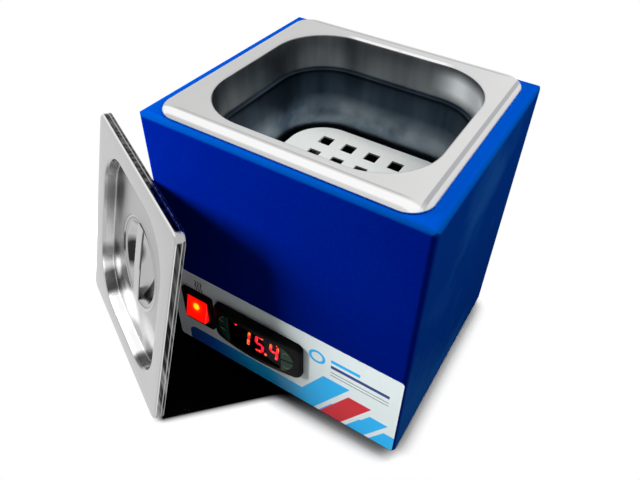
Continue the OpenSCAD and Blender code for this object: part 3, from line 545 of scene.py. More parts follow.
def pan_section():
    lip = []
    for k in range(LIP_STEPS + 1):
        turn = math.pi / 2 * (1 - k / LIP_STEPS)
        out = LIP_W * math.sin(turn)
        lip.append((LIP_X + out, LIP_Y + out, LIP_R + out, LIP_H * (math.cos(turn) - 1)))
    flat = [(80.6, 75.4, 12.0, 0.02), (79.0, 73.4, 28.0, 0.0)]
    roll = fillet((77.2, 71.2, 41.7, 0.0), (75.6, 69.6, 40.1, 0.0), (75.45, 69.45, 40.0, -1.7), 8)
    wall = [(75.2, 69.2, 39.8, -12.0), (74.9, 68.9, 39.6, -24.0)]
    shoulder = fillet((74.85, 68.85, 39.5, -25.2), (74.8, 68.8, 39.4, -26.4), (73.8, 67.8, 38.6, -26.55), 5)
    shoulder += fillet((73.2, 67.2, 38.0, -26.6), (72.4, 66.4, 37.0, -26.6), (72.3, 66.3, 36.9, -27.8), 4)
    deep = [(71.6, 65.6, 36.6, -52.0), (71.0, 65.0, 36.2, -78.0), (70.6, 64.5, 36.0, -91.0)]
    foot = fillet((70.4, 64.3, 35.8, -93.5), (70.2, 64.1, 35.6, -99.8), (64.0, 57.9, 29.0, -99.9), 7)
    middle = [(40.0, 36.0, 18.0, -99.9), (8.0, 7.0, 5.0, -99.9)]
    return lip + flat + roll + wall + shoulder + deep + foot + middle


def make_pan():
    """The drawn sheet, brushed on the flange and satin inside the mouth."""
    rings = [rounded_ring(hx, hy, r, z) for hx, hy, r, z in pan_section()]
    pan = skin("drawn_pan", rings, end="cap")
    pan.matrix_world = Matrix.Translation((0, PAN_Y * MM, FLANGE_TOP * MM))
    fold_sheet(pan, 0.75)
    dress(pan, flange_steel, instead_of=["pan"])
    pan.data.materials.append(well_steel)
    for face in pan.data.polygons:
        x, y, z = face.center / MM
        below = z < FLANGE_TOP - 1.0
        face.material_index = int(below and abs(x) < MOUTH_X and abs(y - PAN_Y) < MOUTH_Y)


make_pan()

# %% [markdown]
# ## The lid
# The lid is pressed from one sheet as well: a turned-down rim, a flat face, a sunk panel whose wall
# ends in a crisp crease, a raised ring and a round finger dish. The strap across the dish is the
# handle. The lid is built lying flat, in its own frame, and one matrix then stands it against the
# casing's front left corner, exactly as the frame's solid stands.

# %% Where the standing lid is
LEAN, YAW, SHIFT = math.radians(13.5), math.radians(27.2), 18.5
LID_GAP = 0.3
lid_place = (
    Matrix.Translation((MM * (CASING_R - CASING_W / 2), MM * (CASING_R - CASING_D / 2), 0))
    @ Matrix.Rotation(-YAW, 4, "Z")
    @ Matrix.Translation((-SHIFT * MM, -(CASING_R + LID_GAP + LID_L * math.sin(LEAN)) * MM, 0))
    @ Matrix.Rotation(math.pi / 2 - LEAN, 4, "X")
    @ Matrix.Translation((0, LID_L / 2 * MM, 0))
)
lid_foot = (lid_place @ Vector((LID_W / 2 * MM, -LID_L / 2 * MM, 0))) / MM
print("the lid's near foot stands at", [round(value, 1) for value in lid_foot])

# %% [markdown]
# The lid's hollows mirror each other, so their walls and the flat panel between them show dark and
# pale streaks. They could come from lamps that mirror in the steel, but then they would leave when
# the lid is lifted. So they are painted reflections: masks in the lid's own frame, `u` across it,
# `v` up it and `w` out of its face. Noise breaks them up.

# %% Painted reflections in the pressed walls and on the panel
# Streaks along a wall: start, end, softness and depth.
LEFT_DARK = ((39.0, 52.0, 9.0, 0.65), (12.0, 35.0, 14.0, 0.55), (-42.0, -29.0, 9.0, 0.75))
LOW_DARK = ((-57.0, -42.0, 4.0, 1.0), (29.0, 46.0, 6.0, 0.85))
# Spots on the panel: place (u, v), half width, half height, softness and depth.
DARK_SPOTS = (
    (-52.0, 32.0, 9.0, 26.0, 0.8, 1.0),
    (-53.0, -28.0, 7.0, 8.0, 0.8, 1.0),
    (-31.0, -47.0, 6.0, 5.0, 0.9, 0.7),
    (8.0, -63.0, 14.0, 6.0, 0.8, 0.5),
    (38.0, -60.0, 13.0, 8.0, 0.8, 0.8),
)
PALE_SPOTS = (
    (-47.0, -41.0, 7.0, 10.0, 0.9, 0.8),
    (-13.0, -53.0, 18.0, 11.0, 0.9, 0.9),
    (34.0, -43.0, 16.0, 9.0, 0.9, 0.3),
)


def lid_axes(steel):
    """Where the shaded point lies in the lid's own frame, in millimetres."""
    x, y, z = steel.place()
    rows = list(lid_place.inverted())[:3]
    return [x * row[0] + y * row[1] + z * row[2] + row[3] / MM for row in rows]


def spot(u, v, at_u, at_v, half_u, half_v, soft=0.5):
    """Soft oval spot, 1 in its middle."""
    return band(distance((u - at_u) / half_u, (v - at_v) / half_v), -1.0, 1.0, soft)


def painted_reflections(u, v, w):
    """Masks of the painted dark and pale reflections in the walls and on the panel."""
    wall = band(w, -2.2, 6.4, 0.6)
    panel = band(w, -2.7, -2.2, 0.2)
    left = band(u, -66.0, -48.0, 4.0) * wall
    low = band(v, -74.0, -50.0, 4.0) * wall
    dark = strongest(
        *(left * band(v, start, end, soft) * depth for start, end, soft, depth in LEFT_DARK),
        *(low * band(u, start, end, soft) * depth for start, end, soft, depth in LOW_DARK),
        *(panel * spot(u, v, *shape) * depth for *shape, depth in DARK_SPOTS),
    )
    pale = strongest(
        left * band(v, -62.0, -43.0, 7.0),
        low * band(u, -40.0, 27.0, 5.0),
        *(panel * spot(u, v, *shape) * depth for *shape, depth in PALE_SPOTS),
    )
    return dark, pale


print(len(DARK_SPOTS) + len(PALE_SPOTS), "spots and", len(LEFT_DARK) + len(LOW_DARK) + 2, "streaks")

# %% [markdown]
# The dish is a small hollow mirror, so it carries a painted grey reflection on one side and a painted
# black pool, and the strap and the raised ring each carry a thin painted dark line. The rim is turned
# down, so its sides carry a painted reflection of the dark corner that the lid leans on, with paler
# painted streaks, and painted highlights along its hem and its edge.

# %% Painted reflections of the dish, the strap and the rim
def dish_painted_reflections(u, v, w):
    """Masks of the dish's painted grey side, its painted black pool and the painted lines at ring and
    strap.
    """
    radius = distance(u, v)
    bowl = band(radius, -1.0, 31.4, 0.8) * band(w, -90.0, -3.1, 0.4)
    shade = bowl * spot(u, v, -25.0, -9.0, 9.0, 12.0, 0.6)
    pool = bowl * band(u, 6.0, 26.0, 2.0) * band(radius, 15.0, 29.0, 2.5) * band(v, -30.0, -4.0, 3.0)
    raised = band(w, -2.7, -1.4, 0.2)
    # Painted reflection: a dark spot on the raised ring.
    painted_ring_spot = band(radius, 33.4, 37.4, 0.6) * spot(u, v, -35.0, -6.0, 5.0, 9.0) * raised
    ring = band(radius, 33.6, 34.8, 0.6) * raised
    strap_side = band(u, 4.9, 6.2, 0.4) * band(w, -2.3, -0.2, 0.2) * band(v, -2.0, 33.0, 4.0)
    return shade, strongest((pool * 1.6).at_most(1.0), painted_ring_spot), strongest(ring * 0.45, strap_side * 0.8)


def tint_rim(steel, u, v, w, colour):
    """Turned-down rim: painted dark reflection with paler painted streaks on its sides, painted highlight
    at the face.
    """
    right = band(u, 79.2, FAR, 0.3)
    beside = strongest(right, band(v, 86.2, FAR, 0.3)) * band(w, 0.6, 6.1, 0.5)
    streak = steel.noise(260.0, 3.0, 0.6, (1.0, 1.0, 0.05))
    # Painted reflection: the rim's dark sides with paler streaks, more of them low down.
    paler_share = band(streak, 0.52, FAR, 0.16) * (0.25 + band(v, -FAR, 0.0, 60.0) * 0.5)
    side = steel.mix(paler_share, rgb(8, 8, 9), grey(168))
    # Painted highlight: a paler line along the hem.
    side = steel.mix(band(w, 2.0, 2.7, 0.3) * 0.7, side, grey(190))
    colour = steel.mix(beside, colour, side)
    # Painted highlight along the edge where the rim meets the face.
    edge = strongest(right, band(v, 84.6, FAR, 0.5)) * band(w, 5.9, 6.8, 0.4)
    return steel.mix(edge * 0.8, colour, grey(244))


def make_lid_steel():
    steel = Finish("lid_stainless")
    u, v, w = lid_axes(steel)
    grain = steel.noise(520.0, 3.0, 0.6, (1.0, 1.0, 0.16))
    cloud = steel.noise(30.0, 3.0)
    broken = steel.noise(52.0, 2.0, 0.4)
    # Painted reflections in the walls, on the panel and in the dish, and dark painted lines at ring and
    # strap.
    dark, pale = painted_reflections(u, v, w)
    shade, pool, lines = dish_painted_reflections(u, v, w)
    colour = steel.mix(cloud * 0.5 + grain * 0.5, grey(176), grey(188))
    colour = steel.mix(band(w, -3.0, -2.1, 0.3), colour, grey(167))
    colour = steel.mix(pale * (0.7 + broken * 0.4).at_most(1.0), colour, grey(250))
    dark = strongest(dark, lines) * (0.7 + broken * 0.5).at_most(1.0)
    colour = steel.mix(dark, colour, rgb(66, 66, 67))
    colour = steel.mix(shade, colour, rgb(44, 44, 45))
    colour = steel.mix(pool, colour, grey(8))
    return steel.surface(
        Base_Color=tint_rim(steel, u, v, w, colour),
        Metallic=1.0 - pale * 0.4,
        Roughness=0.15 + grain * 0.1 + cloud * 0.04,
        Normal=steel.bump(grain, 0.004),
    )


lid_steel = make_lid_steel()

# %% [markdown]
# The pressing is a stack of rings again, from the hemmed rim over the face, the brow and the wall
# to the panel. There the rings turn from rounded rectangles into circles, which shape the raised
# ring and the dish.

# %% Section of the lid and its mesh
FACE_W, PANEL_W = 6.95, -2.45
DISH_R, DISH_DEEP, DISH_RIM_W = 31.8, 12.6, -2.95
DISH_STEPS = 14


def lid_section():
    """Rings from the rim to the panel: half width, half length, corner radius and height."""

    def at(inset, corner, height):
        """Ring that lies so far inside the lid's outer edge."""
        return (LID_W / 2 - 0.05 - inset, LID_L / 2 - 0.05 - inset, corner, height)

    hem = fillet(at(0.9, 7.2, 0.9), at(0.9, 7.2, 0.1), at(0.45, 7.6, 0.1), 3)
    hem += fillet(at(0.3, 7.8, 0.1), at(0.0, 8.0, 0.1), at(0.0, 8.0, 0.6), 3)[1:]
    hem += [at(0.0, 8.0, 1.5), at(0.35, 7.8, 1.9), at(0.35, 7.8, 4.6)]
    edge = fillet(at(0.35, 7.8, 4.9), at(0.35, 7.8, FACE_W), at(2.2, 6.2, FACE_W), 7)
    face = [at(9.0, 12.0, FACE_W)]
    brow = fillet((64.6, 71.6, 37.5, FACE_W), (62.2, 69.2, 35.5, FACE_W), (61.9, 68.9, 35.2, 4.4), 7)
    wall = [(61.2, 68.2, 34.5, -0.9)]
    crease = fillet((61.1, 68.1, 34.4, -1.6), (60.9, 67.9, 34.2, PANEL_W), (60.2, 67.2, 33.6, PANEL_W), 4)
    panel = [(52.0, 58.0, 30.0, PANEL_W), (44.0, 48.0, 30.0, PANEL_W)]
    return hem + edge + face + brow + wall + crease + panel


def dish_section():
    """Circles of the raised ring, the dish's lip and its bowl: radius and height."""
    ring = [(37.6, PANEL_W), (37.1, -2.35), (36.6, -2.0), (36.1, -1.9)]
    ring += [(35.4, -1.95), (34.9, -2.2), (34.4, PANEL_W)]
    lip = [(33.2, PANEL_W), (32.4, -2.6), (DISH_R, DISH_RIM_W)]
    bend = (DISH_R**2 + DISH_DEEP**2) / (2 * DISH_DEEP)
    floor = DISH_RIM_W - DISH_DEEP
    bowl = []
    for k in range(1, DISH_STEPS + 1):
        r = DISH_R * (1 - k / (DISH_STEPS + 0.5))
        bowl.append((r, floor + bend - math.sqrt(bend**2 - r**2)))
    return ring + lip + bowl


def make_lid():
    rings = [rounded_ring(hx, hy, r, z, 18, 12) for hx, hy, r, z in lid_section()]
    rings += [round_ring(r, z, rings[0]) for r, z in dish_section()]
    lid = skin("pressed_lid", rings, end="cap")
    lid.matrix_world = lid_place
    fold_sheet(lid, 0.7)
    dress(lid, lid_steel, "lid", instead_of=["lid"])


make_lid()

# %% [markdown]
# The handle is a strip with softly rounded edges, welded to the panel on both sides of the dish and
# arched a little between. A round-cornered section is swept along it.

# %% The handle strap
STRAP_L, STRAP_W, STRAP_T, STRAP_ARCH = 68.6, 11.9, 1.2, 0.55
STRAP_STEPS = 40


def make_handle():
    rings = []
    for k in range(STRAP_STEPS + 1):
        along = k / STRAP_STEPS * 2 - 1
        arch = STRAP_ARCH * math.cos(along * math.pi / 2) ** 0.5 if abs(along) < 1 else 0.0
        middle = PANEL_W + STRAP_T / 2 + HAIR + arch
        tip = max(abs(along) - 0.94, 0) / 0.06
        ring = rounded_ring(STRAP_W / 2 - (2.2 * tip) ** 2 * 0.35, STRAP_T / 2, 0.45, 0.0, 4, 6)
        rings.append([Vector((p.x, along * STRAP_L / 2, middle + p.y)) for p in ring])
    strap = skin("lid_handle_strap", rings, "cap", "cap")
    strap.matrix_world = lid_place
    dress(strap, lid_steel, "lid", instead_of=["lid_handle"])


make_handle()

# %% [markdown]
# ## The casing
# The folded casing keeps its solid from the frame, because its cut-outs and return flange are
# exact there. It only takes the powder coat. The sheet parts, the screws, the seal and the feet keep
# their solids too, because a finish is all that they need.

# %% Casing and the plain sheet parts
def keep(material, *names):
    """Gives the frame's own solids a finish."""
    for name in names:
        mesh = nodes[name].data
        mesh.materials.clear()
        mesh.materials.append(material)
    print(material.name, "on", ", ".join(names))


keep(powder_coat, "casing")
keep(zinc_sheet, "base_plate", "heater_plate", "insulation_tray")
keep(plate_steel, "false_bottom")
keep(seal_rubber, "pan_seal")
keep(foot_rubber, "feet")
keep(
    fastener_steel,
    "base_screws",
    "foot_screws",
    "foot_nuts",
    "pan_studs",
    "stud_nuts",
    "temperature_probe",
    "probe_clip",
    "inlet_screws",
    "inlet_nuts",
)

# %% [markdown]
# ## The front label
# The label is a printed film. Its design is drawn by sums on the place of the point being shaded:
# a band along the foot that runs from navy to sky blue, slanted bars that rise from it, a ring with
# bars and rules beside it, and a small sign of heat over the switch. An image would be quicker, but
# sums stay sharp at any size. Everything is in millimetres from the panel's middle and the casing's
# foot.

# %% Print on the label
WHITE, INK, RED = rgb(232, 243, 244), rgb(24, 26, 34), rgb(214, 22, 42)
NAVY, BLUE, SKY = rgb(36, 84, 170), rgb(6, 108, 226), rgb(24, 186, 255)
# Slanted bars: left and right edge at the foot, top and colour.
BARS = ((10.0, 31.0, 46.0, SKY), (36.0, 54.0, 37.0, RED), (59.0, 73.0, 28.0, SKY))
BAR_LEAN, BAR_GAP = 0.62, 4.0
WAVES = ((-2.9, -1.95), (-0.47, 0.47), (1.95, 2.9))


def print_bars(film, x, up):
    """White film with the band along its foot and the bars that rise from it."""
    tint = film.mix(band(x, -70.0, FAR, 30.0), NAVY, BLUE)
    tint = film.mix(band(x, -42.0, FAR, 40.0), tint, SKY)
    past_corner = distance((x + 78.0).at_most(0.0), (up - 10.0).at_least(0.0))
    colour = film.mix(band(past_corner, -1.0, 7.8, 0.4), WHITE, tint)
    lean = x - up * BAR_LEAN
    for low, high, top, tint in BARS:
        below_top = band(up, -5.0, top, 0.4)
        colour = film.mix(band(lean, low, high, 0.4) * below_top, colour, tint)
        colour = film.mix(band(lean, high, high + BAR_GAP, 0.4) * below_top, colour, WHITE)
    return colour


def print_signs(film, x, up, colour):
    """The ring, the two bars and two rules on the right, and the sign of heat over the switch."""
    beside = x + 69.5 - ((up - 66.0) * 0.9).wave() * 0.55
    strokes = strongest(*(band(beside, low, high, 0.15) for low, high in WAVES))
    strokes = strokes * band(up, 66.5, 77.0, 0.3)
    dot = distance(x + 81.2, up - 67.8) < 0.707
    ring = band(distance(x - 33.0, up - 64.0), 4.4, 6.6, 0.3)
    short_bar = band(up, 65.4, 68.6, 0.3) * band(x, 44.0, 66.0, 0.3)
    long_bar = band(up, 59.4, 62.6, 0.3) * band(x, 44.0, 88.0, 0.3)
    rules = strongest(band(up, 54.6, 55.2, 0.1), band(up, 51.4, 52.0, 0.1)) * band(x, 44.0, 88.0, 0.2)
    colour = film.mix(strongest(ring, short_bar), colour, SKY)
    colour = film.mix(long_bar, colour, rgb(34, 62, 132))
    return film.mix(strongest(strokes, dot, rules), colour, INK)


def make_label():
    film = Finish("printed_label_film")
    x, y, z = film.place()
    up = z - FOOT_Z
    haze = film.noise(300.0, 3.0)
    return film.surface(
        Base_Color=print_signs(film, x, up, print_bars(film, x, up)),
        Roughness=0.28 + haze * 0.1,
        Specular_IOR_Level=0.12,
        Normal=film.bump(haze, 0.006),
    )


keep(make_label(), "front_label")

# %% [markdown]
# ## The rocker switch
# The housing is one moulding: a bevelled frame round a deep opening. The rocker is clear red
# plastic over a lamp, so it glows: brightest at a small spot near its upper end.

# %% Switch housing
def front_frame(x, z):
    """Frame on the front label: X to the right, Y up the panel, Z out of it."""
    return Matrix.Translation((x * MM, FRONT_Y * MM, z * MM)) @ Matrix.Rotation(math.pi / 2, 4, "X")


def make_switch_housing():
    """Body behind the panel, bevelled frame on it, and the opening, in one stack of rings."""
    outer = [(12.1, 15.2, 0.8, -24.0), (12.1, 15.2, 0.8, HAIR)]
    outer += [(14.15, 17.3, 2.0, HAIR), (14.15, 17.3, 2.0, 1.3)]
    outer += fillet((14.1, 17.25, 2.0, 1.6), (14.0, 17.1, 1.9, 2.45), (13.0, 16.1, 1.4, 2.45), 5)
    inner = fillet((10.6, 12.0, 1.1, 2.45), (9.75, 11.15, 0.9, 2.45), (9.7, 11.1, 0.8, 1.3), 4)
    inner += [(9.7, 11.1, 0.8, -22.0)]
    rings = [rounded_ring(hx, hy, r, z, 6, 4) for hx, hy, r, z in outer + inner]
    housing = skin("switch_frame", rings, "cap", "cap")
    housing.matrix_world = front_frame(SWITCH_X, SWITCH_Z)
    dress(housing, black_plastic, instead_of=["switch_housing"])


make_switch_housing()


# %% Rocker and its glow
SPOT_R, HALO_R = 2.7, 6.0


def make_rocker_lens():
    lens = Finish("lit_red_lens")
    x, y, z = lens.place()
    away = distance(x - (SWITCH_X - 0.4), z - (SWITCH_Z + 2.6))
    halo = (1.0 - away / HALO_R).at_least(0.0)
    red = lens.mix(halo, rgb(255, 12, 2), rgb(255, 70, 10))
    ripple = lens.noise(300.0, 2.0)
    return lens.surface(
        Base_Color=rgb(190, 10, 8),
        Roughness=0.16 + ripple * 0.08,
        Emission_Color=lens.mix(band(away, -1.0, SPOT_R, 1.2), red, rgb(255, 226, 30)),
        Emission_Strength=0.95,
        Normal=lens.bump(ripple, 0.01),
    )


ROCKER_TILT = math.radians(28)


def make_rocker():
    """Side outline of the rocker, drawn out to its width, with softened edges."""
    half_w, half_h, face, rise, back = 9.35, 10.0, 3.4, 0.52, 4.0
    outline = [
        (-half_h, -back),
        (half_h, -back),
        (half_h, face + rise),
        (0.0, face),
        (-half_h, face + rise),
    ]
    mesh = bmesh.new()
    left = [mesh.verts.new((-half_w * MM, up * MM, out * MM)) for up, out in outline]
    right = [mesh.verts.new((half_w * MM, up * MM, out * MM)) for up, out in outline]
    mesh.faces.new(left)
    mesh.faces.new(list(reversed(right)))
    for k in range(len(outline)):
        n = (k + 1) % len(outline)
        mesh.faces.new((left[n], left[k], right[k], right[n]))
    bmesh.ops.bevel(
        mesh, geom=list(mesh.edges), offset=0.55 * MM, segments=4, profile=0.5, affect="EDGES"
    )
    rocker = finish_mesh("lit_rocker", mesh, 50.0)
    rocker.matrix_world = front_frame(SWITCH_X, SWITCH_Z) @ Matrix.Rotation(-ROCKER_TILT / 2, 4, "X")
    dress(rocker, make_rocker_lens(), "switch_rocker", instead_of=["switch_rocker"])


make_rocker()

# %% [markdown]
# ## The temperature controller
# The bezel is a black moulding whose front is bowed like a pillow: highest in the middle, lower at
# both ends. The bow is part of a large circle, so one formula gives the height anywhere, and the
# keys use it too.

# %% The bowed front
BEZEL_W, BEZEL_H, EDGE_T, CROWN_T = 76.0, 35.0, 4.0, 3.5
CROWN_R = (BEZEL_W**2 / 4 + CROWN_T**2) / (2 * CROWN_T)
WINDOW_Z = EDGE_T + CROWN_T - 2.0
KEY_IN, KEY_W, KEYS_H = 23.0, 10.0, 27.0
KEY_ARC = (KEYS_H**2 / 4 + KEY_W**2) / (2 * KEY_W)
KEY_GAP = 0.25
PILLOW_STEPS = 7


def crown(x):
    """Height of the bowed front at a distance from the bezel's middle."""
    return EDGE_T + CROWN_T - CROWN_R + math.sqrt(CROWN_R**2 - x * x)


def pillow(name, half_x, half_y, radius, low, drop, soft):
    """Plate with a bowed front, whose front edge is rounded by soft."""
    rings = [rounded_ring(half_x, half_y, radius, low, 10, 16)]
    for turn in range(PILLOW_STEPS + 1):
        angle = math.pi / 2 * turn / PILLOW_STEPS
        inset = soft * (1 - math.cos(angle))
        ring = rounded_ring(half_x - inset, half_y - inset, radius - inset * 0.6, 0.0, 10, 16)
        rings.append([Vector((p.x, p.y, crown(p.x) - drop - soft * (1 - math.sin(angle)))) for p in ring])
    for share in (0.9, 0.75, 0.55, 0.35, 0.15, 0.03):
        ring = rounded_ring((half_x - soft) * share, (half_y - soft) * share, radius * share, 0.0, 10, 16)
        rings.append([Vector((p.x, p.y, crown(p.x) - drop)) for p in ring])
    return skin(name, rings, "cap", "cap")


print("the bow stands", EDGE_T + CROWN_T, "mm proud in the middle")

# %% [markdown]
# The window and the key openings are cut through the finished pillow with a Boolean. Holes could be
# part of the mesh from the start, but a Boolean is the quickest way to put crisp ones into a curved
# face.

# %% Bezel of the controller
def cut(piece, cutters):
    """Cuts solids out of a piece and removes them."""
    for cutter in cutters:
        hole = piece.modifiers.new("hole", "BOOLEAN")
        hole.operation = "DIFFERENCE"
        hole.solver = "EXACT"
        hole.object = cutter
    bpy.context.view_layer.update()
    evaluated = piece.evaluated_get(bpy.context.evaluated_depsgraph_get())
    carved = bpy.data.meshes.new_from_object(evaluated)
    piece.modifiers.clear()
    piece.data = carved
    for cutter in cutters:
        bpy.data.objects.remove(cutter)


def prism(name, outline, low, high):
    """Straight solid over an outline of (x, y) points."""
    rings = [[Vector((x, y, z)) for x, y in outline] for z in (low, high)]
    return skin(name, rings, "cap", "cap")


def key_outline(side, row, grow=0.0, steps=12):
    """Half of a D: straight towards the window and in the middle, round outside."""
    centre = KEY_IN + KEY_W - KEY_ARC
    low, high = 0.5 - grow, KEYS_H / 2 + grow
    points = [(KEY_IN - grow, low)]
    for k in range(steps + 1):
        y = low + (high - low) * k / steps
        reach = math.sqrt(max((KEY_ARC + grow) ** 2 - y * y, 0.0))
        points.append((max(centre + reach, KEY_IN - grow + 0.05), y))
    points.append((KEY_IN - grow, high))
    return [(side * x, row * y) for x, y in points]


def make_bezel():
    half_x, half_y = BEZEL_W / 2 - HAIR, BEZEL_H / 2 - HAIR
    bezel = pillow("controller_frame", half_x, half_y, 5.0, HAIR, HAIR, 1.6)
    sight = [(p.x, p.y) for p in rounded_ring(22.0, 13.0, 1.5, 0, 6, 2)]
    behind = [(p.x, p.y) for p in rounded_ring(21.2, 12.2, 1.0, 0, 4, 2)]
    cutters = [prism("cutter", sight, WINDOW_Z - 1.2, 12.0), prism("cutter", behind, -2.0, WINDOW_Z)]
    for side in (-1, 1):
        for row in (-1, 1):
            cutters.append(prism("cutter", key_outline(side, row, KEY_GAP), -2.0, 12.0))
    cut(bezel, cutters)
    bezel.data.polygons.foreach_set("use_smooth", [True] * len(bezel.data.polygons))
    bezel.data.set_sharp_from_angle(angle=math.radians(30))
    bezel.matrix_world = front_frame(CONTROL_X, CONTROL_Z)
    dress(bezel, black_plastic, instead_of=["controller_bezel"])


make_bezel()

# %% [markdown]
# The keys are soft caps under a film, two at each end, each with a small printed sign: a chevron on
# the right keys, an open square and a bar on the left ones. The print is paler on the left keys. The
# signs carry a faint painted glow, stronger on the left keys, where the lid's shadow falls.

# %% Keys
KEY_PROUD, KEY_FOOT = 0.38, 1.52
# Softened edge of a cap: inset from the outline and drop below the cap's top.
KEY_EDGE = ((0.0, 0.75), (0.06, 0.42), (0.22, 0.18), (0.5, 0.03), (0.9, 0.0))


def make_key_finish(name, side, row):
    film = Finish(name)
    x, y, z = film.place()
    across = (x - (CONTROL_X + side * 27.2)) * float(side)
    up = (z - (CONTROL_Z + row * 7.0)) * float(row)
    if side > 0:
        sign = band(abs(abs(across) * 0.7 + up - 1.6), -1.0, 0.28, 0.15) * band(abs(across), -1.0, 2.2, 0.2)
    elif row > 0:
        square = strongest(abs(across - 1.0), abs(up - 1.4))
        sign = band(square, 2.3, 2.7, 0.15) * band(across, 0.0, 9.0, 0.2)
    else:
        sign = band(abs(up + 4.6), -1.0, 0.22, 0.15) * band(abs(across - 1.0), -1.0, 2.6, 0.2)
    grain = film.noise(800.0, 3.0)
    ink = rgb(150, 192, 166)
    # Painted glow of the signs: stronger on the left keys, in the lid's shadow.
    strength, glow = (0.9, 0.1) if side < 0 else (0.4, 0.02)
    green = film.mix(grain, rgb(12, 40, 28), rgb(16, 50, 36))
    return film.surface(
        Base_Color=film.mix(sign * strength, green, ink),
        Roughness=0.34 + grain * 0.1,
        Specular_IOR_Level=0.12,
        Emission_Color=film.mix(sign, grey(0), ink),
        Emission_Strength=glow,
        Normal=film.bump(grain, 0.012),
    )


def make_key(side, row):
    """Cap whose top follows the bezel's bow and whose edge is softened all round."""
    name = f"key_{'upper' if row > 0 else 'lower'}_{'left' if side < 0 else 'right'}"
    outline = [Vector((x, y, 0)) for x, y in key_outline(side, row)]
    middle = sum(outline, Vector()) / len(outline)

    def top_ring(inset, share=1.0, drop=0.0):
        """Outline moved inwards, then shrunk towards the middle, at the height of the bow."""
        inwards = [p + (middle - p).normalized() * inset for p in outline]
        shrunk = [middle + (q - middle) * share for q in inwards]
        return [Vector((q.x, q.y, crown(q.x) + KEY_PROUD - drop)) for q in shrunk]

    rings = [[Vector((p.x, p.y, KEY_FOOT)) for p in outline]]
    rings += [top_ring(inset, drop=drop) for inset, drop in KEY_EDGE]
    rings += [top_ring(KEY_EDGE[-1][0], share) for share in (0.75, 0.5, 0.25)]
    cap = skin(f"{name}_cap", rings, "cap", "cap")
    cap.matrix_world = front_frame(CONTROL_X, CONTROL_Z)
    dress(cap, make_key_finish(f"{name}_film", side, row), name, instead_of=[name])


for side in (-1, 1):
    for row in (-1, 1):
        make_key(side, row)

# %% [markdown]
# The smoked window lies over a black display block with seven-segment figures. The window could
# refract, but a low alpha on a nearly black film looks the same through one millimetre and exports
# cleanly. The figures glow red with orange hearts. The two status lamps sit under the window, where
# the bezel's brow would hide them from above, so low domes on the glass show their light.

# %% Window, display and lit figures
def make_window_glass():
    glass = Finish("smoked_window")
    smear = glass.noise(60.0, 3.0)
    return glass.surface(
        Base_Color=grey(2),
        Roughness=0.08 + smear * 0.06,
        Alpha=0.3,
        Specular_IOR_Level=0.08,
    )


def make_lit_red():
    lamp = Finish("lit_red_figure")
    heart = band(lamp.noise(260.0, 2.0), 0.56, FAR, 0.12)
    return lamp.surface(
        Base_Color=rgb(120, 10, 10),
        Roughness=0.5,
        Emission_Color=lamp.mix(heart, rgb(255, 14, 52), rgb(255, 128, 30)),
        Emission_Strength=2.4,
    )


lit_red = make_lit_red()
keep(make_window_glass(), "controller_window")
keep(make_plastic("display_black", rgb(3, 2, 2), 0.8, shine=0.0), "display_block")
keep(lit_red, "display_digits")

# %% Light of the status lamps on the window
# Lamps: place on the controller (X, Y) and radius.
LAMPS = ((-16.0, 10.0, 0.85), (19.4, 10.2, 0.4))
# Section of a dome: share of the radius and height over the window.
DOME = ((1.0, -0.3), (1.0, 0.0), (0.8, 0.1), (0.4, 0.15))
DOME_SIDES = 24


def make_dome(x, up, size):
    turns = [2 * math.pi * k / DOME_SIDES for k in range(DOME_SIDES)]
    rings = []
    for share, height in DOME:
        r, z = size * share, WINDOW_Z + height
        rings.append([Vector((x + r * math.cos(t), up + r * math.sin(t), z)) for t in turns])
    return skin("dome", rings, "cap", "cap")


def make_status_lamps():
    joined = bmesh.new()
    for lamp in LAMPS:
        dome = make_dome(*lamp)
        joined.from_mesh(dome.data)
        bpy.data.objects.remove(dome)
    lamps = finish_mesh("status_lamp_domes", joined)
    lamps.matrix_world = front_frame(CONTROL_X, CONTROL_Z)
    dress(lamps, lit_red, instead_of=["status_lamps"])


make_status_lamps()

# %% [markdown]
# ## Back and inside
# What the casing hides still has a finish, because the object is taken apart and turned round.

# %% Inlet, wiring and insulation
keep(black_plastic, "power_inlet", "controller_case")
keep(make_plastic("dark_grey_drawer", rgb(52, 52, 56), 0.4), "fuse_drawer")
keep(make_plastic("grey_plastic", rgb(110, 112, 116), 0.45), "controller_clips", "thermal_cutout")
keep(make_plastic("green_terminal", rgb(34, 120, 70), 0.42), "controller_terminals")
keep(make_plastic("green_circuit_board", rgb(20, 92, 52), 0.35, 0.03, 260.0, 0.4), "controller_board")
keep(make_plastic("ivory_terminal", rgb(226, 220, 196), 0.45), "terminal_block")
keep(make_plastic("heater_silicone", rgb(164, 74, 40), 0.6, 0.08, 300.0), "heater_mat")
mineral_wool = make_plastic("mineral_wool", rgb(206, 196, 150), 0.95, 0.6, 160.0, 0.3)
keep(mineral_wool, "insulation_wrap", "insulation_pad")
keep(make_plastic("fuse_glass", rgb(200, 202, 200), 0.12), "fuse")
keep(make_plastic("amber_lamp", rgb(250, 150, 50), 0.2), "switch_lamp")
keep(brass, "switch_tabs", "inlet_pins", "terminal_screws", "earth_stud", "earth_nuts")
for node, colour in (
    ("live_lead", rgb(96, 58, 34)),
    ("neutral_lead", rgb(40, 92, 180)),
    ("earth_lead", rgb(150, 178, 40)),
    ("heater_leads", rgb(176, 44, 34)),
    ("probe_lead", rgb(120, 122, 126)),
):
    keep(make_plastic(node + "_sleeve", colour, 0.45, 0.01), node)

# %% [markdown]
# ## Studio
# A white floor stands in a white surround. Both show at full white to the camera and in reflections,
# and light the object much less than that, so the lamps give it its shape. Near the casing and in
# the wedge behind the lid the floor is a matt white whose corners darken by ambient occlusion: a
# lamp's own shadow would be too weak there, because the surround fills it. The far floor simply
# glows white, so no grey horizon shows.

